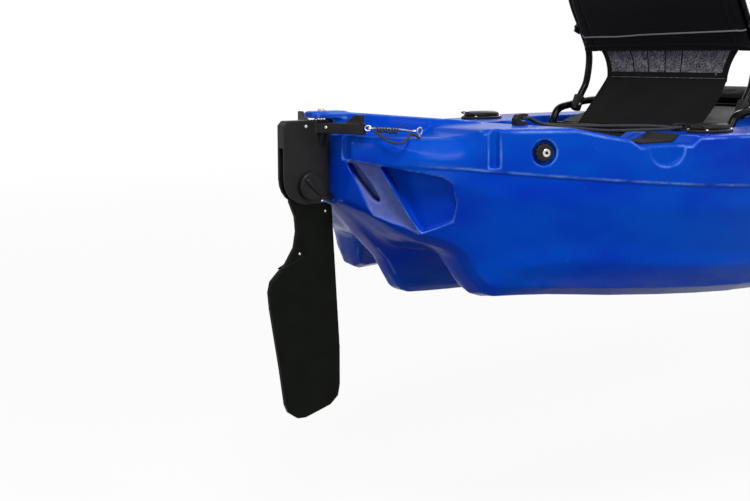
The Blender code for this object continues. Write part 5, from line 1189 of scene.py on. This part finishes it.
def backrest_form(base):
    """The sleeve before it is filled: a little inside the size that it swells to, drawn in at its hem and corners."""
    wall, top = BACK_TUBE_RADIUS + 0.0016, BACK_CROWN[1]
    low = BACKREST_BOTTOM + 0.0003
    form = ((low, 0, 0.94, 0.80), (low + 0.014, 0, 1, 0.95), (0.25, 0, 1, 1.20), (0.33, 0, 1, 1.25), (0.40, 0, 1, 1.15),
            (top - 0.022, 0.003, 1, 1.05), (top - 0.006, 0.014, 1, 1), (top + 0.005, 0.030, 0.80, 0.80),
            (top + wall, 0.055, 0.25, 0.25))
    columns = [[(row[0], row[i]) for row in form] for i in (1, 2, 3)]
    rings = []
    for k in range(37):
        up = low + (top + wall - low) * k / 36
        drawn_in, edge, crown = (fair(column, up) for column in columns)
        corner = BACK_SPREAD - drawn_in
        front = [(-corner - wall * math.cos(a), edge * wall * math.sin(a)) for a in map(math.radians, range(0, 91, 15))]
        for share in (0.85, 0.7, 0.5, 0.3, 0.15):
            front.append((-share * corner, wall * (edge + (crown - edge) * (1 - share ** 2))))
        front += [(0, wall * crown)]
        front += [(-y, x) for y, x in reversed(front[:-1])]
        around = front + [(y, -x) for y, x in reversed(front[1:-1])]
        rings.append([seat_point(base, back_profile(up) + x, up, y) for y, x in around])
    return lofted(rings)


def cushion_form(base):
    """The cushion before it is filled, with its sides drawn in."""
    aft, fore = CUSHION
    low = CROSSBARS[1][1] + CROSSBAR_RADIUS + 0.0003
    middle = (aft + fore) / 2
    rings = []
    for height, inset in ((0, 0.018), (0.25, 0.006), (0.5, 0.004), (0.75, 0.012), (0.86, 0.050)):
        corners = oblong(aft - middle + inset, -CUSHION_HALF + inset, fore - middle - inset, CUSHION_HALF - inset)
        rings.append([seat_point(base, middle + x, low + CUSHION_THICKNESS * height, y)
                      for x, y in rounded(corners, 0.045 - 0.4 * inset, 5)])
    return lofted(rings), SEAT_GROUND + low


def sewn(mesh, lines, width, depth):
    """Draws channels into a filled form: each line is a function that gives a point's distance to it."""
    for vert, normal in zip(mesh.vertices, [v.normal.copy() for v in mesh.vertices]):
        nearest = min(abs(line(vert.co)) for line in lines)
        vert.co = vert.co - normal * depth * math.exp(-(nearest / width) ** 2)
    return mesh


def on_surface(mesh, points, lift):
    """The points moved onto a form's skin, and lifted a little off it."""
    tree = skin_tree(mesh)
    route = []
    for point in points:
        spot, normal, *_ = tree.find_nearest(point)
        route.append(spot + normal * lift)
    return route


def screws_on(name, places, radius):
    """Pan heads seated on the top of a piece that is already made, at places (x, y)."""
    tree = skin_tree(bpy.data.objects[name].data)
    heads = []
    for x, y in places:
        spot, normal, *_ = tree.ray_cast(Vector((x, y, 1.0)), Vector((0, 0, -1)))
        heads.append(pan_head(spot - normal * 0.0003, normal, radius))
    return joined(heads)


def moved(mesh, distance):
    """The same mesh further forward, for the front seat."""
    other = mesh.copy()
    other.transform(Matrix.Translation((distance, 0, 0)))
    return other


def sheet_skin(place, rows, columns, thickness):
    """A closed sheet of cloth: place(u, v) gives its middle, with u from -1 to 1 across and v from 0 to 1 up."""
    grid = [[place(2 * i / columns - 1, j / rows) for i in range(columns + 1)] for j in range(rows + 1)]
    bm = bmesh.new()
    faces = []
    for face_side in (0.5, -0.5):
        sheet = []
        for j in range(rows + 1):
            row = []
            for i in range(columns + 1):
                across = grid[j][min(i + 1, columns)] - grid[j][max(i - 1, 0)]
                up = grid[min(j + 1, rows)][i] - grid[max(j - 1, 0)][i]
                row.append(bm.verts.new(grid[j][i] + across.cross(up).normalized() * thickness * face_side))
            sheet.append(row)
        faces.append(sheet)
    for sheet in faces:
        for j in range(rows):
            for i in range(columns):
                bm.faces.new((sheet[j][i], sheet[j][i + 1], sheet[j + 1][i + 1], sheet[j + 1][i]))
    rim = [(0, i) for i in range(columns)] + [(j, columns) for j in range(rows)]
    rim += [(rows, i) for i in range(columns, 0, -1)] + [(j, 0) for j in range(rows, 0, -1)]
    for (j, i), (n, m) in zip(rim, rim[1:] + rim[:1]):
        bm.faces.new((faces[0][j][i], faces[0][n][m], faces[1][n][m], faces[1][j][i]))
    return meshed(bm)


def lumbar_place(base):
    """Where the gathered lumbar mesh runs: from the band at the waist up into the backrest, with its pleats."""
    low, high = LUMBAR_BOTTOM - 0.002, BACKREST_BOTTOM + 0.010

    def place(u, v):
        up = low + (high - low) * v
        half = WAIST_HALF + (LUMBAR_TOP_HALF - WAIST_HALF) * v ** 2.2
        fold = sum(math.exp(-((u - at - 0.03 * v) / 0.016) ** 2) for at in PLEATS)
        wave = 0.0016 * math.sin(17 * u + 2.1 * v) + 0.0010 * math.sin(31 * u - 3 * v)
        return seat_point(base, back_profile(up) + (wave + 0.0042 * fold) * (0.35 + 0.65 * v), up, half * u)
    return place


def skirt_place(base):
    """Where the skirt runs: from the rear crossbar up to the waist, drawn in towards its middle."""
    foot = (CROSSBARS[0][0], CROSSBARS[0][1] + CROSSBAR_RADIUS + 0.0003)
    top = (back_profile(LUMBAR_BOTTOM), LUMBAR_BOTTOM + 0.004)

    def place(u, v):
        half = SKIRT_FOOT_HALF + 0.005 * math.sin(math.pi * v) - (SKIRT_FOOT_HALF - WAIST_HALF) * v ** 4
        belly = 0.0025 * math.sin(math.pi * v) * (1 - u * u) + 0.0010 * math.sin(9 * u + 4 * v) * math.sin(math.pi * v)
        x = foot[0] + (top[0] - foot[0]) * (1 - (1 - v) ** 1.2) - belly
        return seat_point(base, x, foot[1] + (top[1] - foot[1]) * v, half * u)
    return place


def band(base):
    """The doubled hem band round the waist, over the lower edge of the mesh and the skirt's upper edge."""
    def place(u, v):
        up = LUMBAR_BOTTOM - 0.004 + 0.020 * v
        wave = 0.0008 * math.sin(13 * u + 1.0) + 0.0006 * math.sin(29 * u)
        return seat_point(base, back_profile(up) + wave, up, (WAIST_HALF + 0.0012) * u)
    return place


def seat_soft_parts():
    """The backrests, lumbar meshes, skirts and cushions of both seats, sewn and filled once."""
    base = SEAT_FOOT_AT
    backrest = filled(backrest_form(base), 0.0055, 0.0065)
    backrest = sewn(backrest, [lambda p, y=y: p.y - y for y in BACKREST_SEAMS], 0.0035, 0.0018)
    form, floor_at = cushion_form(base)
    cushion = filled(form, 0.006, 0.009, floor_at)
    channels = [lambda p, x=x: p.x - (stern(base) + x) for x in CUSHION_CHANNELS]
    channels += [lambda p, y=y: p.y - y for y in CUSHION_SEAMS]
    cushion = sewn(cushion, channels, 0.005, 0.0035)
    for word, shift in (("rear", 0), ("front", SEAT_SPACING)):
        body = f"{word}_back"
        obj = piece(f"{word}_backrest", moved(backrest, shift), CANVAS, body, 180)
        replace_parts(obj, f"{word}_seat_backrest")
        backrest_trim(word, base + shift, body, obj.data)
        seat = piece(f"{word}_cushion", moved(cushion, shift), CANVAS, "boat", 180)
        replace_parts(seat, f"{word}_seat_cushion")
        cushion_trim(word, base + shift, seat.data)
        waist(word, base + shift, body)
    for spare in (backrest, cushion):
        bpy.data.meshes.remove(spare)


def backrest_trim(word, base, body, form):
    """The grey piping round the sleeve's foot, its bound hem, and the buckles on its sides."""
    def ring(up, tilt=0.0):
        wide = BACK_SPREAD + 0.02
        across = [wide * (1 - i / 20) for i in range(41)]
        behind = [seat_point(base, back_profile(up) - 0.05, up - tilt * y / BACK_SPREAD
                             - 0.4 * tilt * math.exp(-((y - 0.12) / 0.05) ** 2), y) for y in across]
        before = [seat_point(base, back_profile(up) + 0.05, up - tilt * y / BACK_SPREAD, y) for y in reversed(across)]
        return behind, before
    behind, before = ring(PIPING_HEIGHT, PIPING_TILT)
    pipes = [tubular(on_surface(form, points, 0.0004), 0.0019, 8) for points in (behind, before)]
    piece(f"{word}_backrest_piping", joined(pipes), PIPING, body)
    behind, before = ring(BACKREST_BOTTOM + 0.003)
    hems = [tubular(on_surface(form, points, -0.0006), 0.0026, 8) for points in (behind, before)]
    piece(f"{word}_backrest_hem", joined(hems), BINDING, body)
    buckles = []
    for side in (1, -1):
        at = seat_point(base, back_profile(BUCKLE_HEIGHT), BUCKLE_HEIGHT, side * (BACK_SPREAD + 0.0112))
        turn = Matrix.Translation(at) @ Matrix.Rotation(BACK_LEAN, 4, "Y")
        buckles.append(slab((-0.010, -0.003, -0.013), (0.010, 0.003, 0.013), turn, 0.002))
        buckles.append(slab((-0.0115, -0.0045, -0.003), (0.0115, 0.0045, 0.003), turn, 0.0015))
    piece(f"{word}_backrest_buckles", joined(buckles), NYLON, body)


def cushion_trim(word, base, form):
    """The piping round the cushion's edge."""
    aft, fore = CUSHION
    middle = (aft + fore) / 2
    half = (fore - aft) / 2 + 0.01
    wide = CUSHION_HALF + 0.01
    outline = rounded(oblong(-half, -wide, half, wide), 0.05, 8)
    points = []
    for (x, y), (p, q) in zip(outline, outline[1:] + outline[:1]):
        parts = max(1, round(math.hypot(p - x, q - y) / 0.012))
        points += [seat_point(base, middle + x + (p - x) * i / parts, 0.082, y + (q - y) * i / parts)
                   for i in range(parts)]
    route = on_surface(form, points + points[:1], 0.0002)
    piece(f"{word}_cushion_piping", tubular(route, 0.0024, 8), BINDING, "boat")


def waist(word, base, body):
    """The lumbar mesh, the band at the waist and the skirt, with their bound edges."""
    place = lumbar_place(base)
    mesh = piece(f"{word}_lumbar_mesh", sheet_skin(place, 10, 120, 0.0024), MESH, body, 60)
    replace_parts(mesh, f"{word}_seat_lumbar_mesh")
    edges = [sheet_skin(lambda u, v, s=side: place(s * (0.968 + 0.036 * u), v), 14, 4, 0.0060)
             for side in (1, -1)]
    bound = piece(f"{word}_lumbar_binding", joined(edges), BINDING, body, 60)
    seams = []
    for at in PLEATS:
        run = [place(at + 0.03 * i / 12, i / 12) + Vector((-0.0022, 0, 0)) for i in range(13)]
        seams.append(tubular(run, 0.0013, 8))
    folds = piece(f"{word}_lumbar_pleats", joined(seams), BINDING, body)
    strip = piece(f"{word}_waist_band", sheet_skin(band(base), 4, 60, 0.0062), BINDING, body, 60)
    line = [band(base)(u, 0.40) + Vector((-0.0032, 0, 0)) for u in (i / 20 - 1 for i in range(41))]
    stitch = piece(f"{word}_waist_piping", tubular(line, 0.0007, 6), MESH, body)
    place = skirt_place(base)
    skirt = piece(f"{word}_skirt", sheet_skin(place, 16, 60, 0.0030), CANVAS, None, 60)
    start, end = place(0, 0.15), place(0, 1)
    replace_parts(skirt, f"{word}_seat_skirt")
    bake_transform(skirt)
    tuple(start)
    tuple(end)
    edges = [tubular([place(u, v / 12) for v in range(13)], 0.0028, 10) for u in (-1, 1)]
    trim = piece(f"{word}_skirt_binding", joined(edges), BINDING, None)
    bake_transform(trim)
    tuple(start)
    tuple(end)


def seats():
    """Both seats: their frames, then the soft parts, which are sewn once for both."""
    for word, shift in (("rear", 0), ("front", SEAT_SPACING)):
        seat_sled(word, SEAT_FOOT_AT + shift)
        back_frame(word, SEAT_FOOT_AT + shift)
    seat_soft_parts()


# Studio


def studio():
    """The photograph's camera, a pale floor and soft lamps."""
    scene = bpy.context.scene
    scene.view_settings.view_transform = "Standard"
    lens = bpy.data.cameras.new("photograph")
    lens.lens = LENS
    lens.sensor_width = 36
    camera = linked("photograph", lens)
    camera.location = CAMERA_AT
    camera.rotation_euler = (math.radians(90 - CAMERA_PITCH), 0, math.radians(-CAMERA_YAW))
    scene.camera = camera
    for name, place, target, size, power in LAMPS:
        data = bpy.data.lights.new(name, "AREA")
        data.shape = "DISK"
        data.size = size
        data.energy = power
        lamp = linked(name, data)
        lamp.location = place
        lamp.rotation_euler = (Vector(target) - Vector(place)).to_track_quat("-Z", "Y").to_euler()
    world = bpy.data.worlds.new("white_studio")
    world.use_nodes = True
    tree = world.node_tree
    backdrop = tree.nodes["Background"]
    backdrop.inputs["Color"].default_value = (1, 1, 1, 1)
    tree.links.new(ranged(tree, seen_rays(tree), 0, 1, 0.22, 1), backdrop.inputs["Strength"])
    scene.world = world
    floor()


def seen_rays(tree):
    """One for the rays that show the background itself: from the camera, in a gloss and through glass."""
    path = add(tree, "ShaderNodeLightPath").outputs
    seen = both(tree, path["Is Camera Ray"], path["Is Glossy Ray"], "MAXIMUM")
    return both(tree, seen, path["Is Transmission Ray"], "MAXIMUM")


def floor():
    """A plain pale floor under the rudder, which fades into the white behind it and keeps the boat's shadow."""
    mesh = bpy.data.meshes.new("floor")
    bm = bmesh.new()
    bmesh.ops.create_circle(bm, cap_ends=True, segments=96, radius=9)
    bm.to_mesh(mesh)
    bm.free()
    made = bpy.data.materials.new("painted_floor")
    made.use_nodes = True
    tree = made.node_tree
    shader = tree.nodes["Principled BSDF"]
    shader.inputs["Roughness"].default_value = 0.9
    shader.inputs["Specular IOR Level"].default_value = 0.0
    seen = seen_rays(tree)
    feed(tree, "Base Color", tinted(tree, seen, linear("#6e6e6e"), "#f8f8f8"))
    white = add(tree, "ShaderNodeEmission", {"Color": (1, 1, 1, 1), "Strength": 1.0}).outputs["Emission"]
    lit = add(tree, "ShaderNodeMixShader", {0: both(tree, seen, 0.92), 1: shader.outputs["BSDF"], 2: white})
    where = add(tree, "ShaderNodeTexCoord").outputs["Object"]
    out = add(tree, "ShaderNodeVectorMath", {0: where}, operation="LENGTH").outputs["Value"]
    clear = add(tree, "ShaderNodeBsdfTransparent").outputs["BSDF"]
    mixed = add(tree, "ShaderNodeMixShader", {0: ranged(tree, out, 2.5, 8.0), 1: lit.outputs["Shader"], 2: clear})
    tree.links.new(mixed.outputs["Shader"], tree.nodes["Material Output"].inputs["Surface"])
    mesh.materials.append(made)
    obj = linked("floor", mesh)
    obj.location = (0, 0, CAD_BOX[0][2] - 0.25)


def plain_finishes():
    """Every CAD node that stays keeps its shape and gets its finish."""
    by_slot = {"blue_polyethylene": HULL_PLASTIC, "black_plastic": NYLON, "black_rubber": RUBBER,
               "stainless_steel": STEEL, "black_tube": TUBE, "black_fabric": CANVAS, "grey_mesh": MESH}
    for part in frame["record"]["subparts"]:
        clad(NODES[part["node"]].data, by_slot[part["material_slot"]], 32)


def build():
    studio()
    plain_finishes()
    steering_wires()
    lift_line()
    bungee()
    hull_shell()
    rudder()
    rigging()
    side_plugs()
    rod_holders()
    deck_fittings()
    steering()
    pedals()
    drive()
    bow_hatch()
    notch_pads()
    seats()


build()
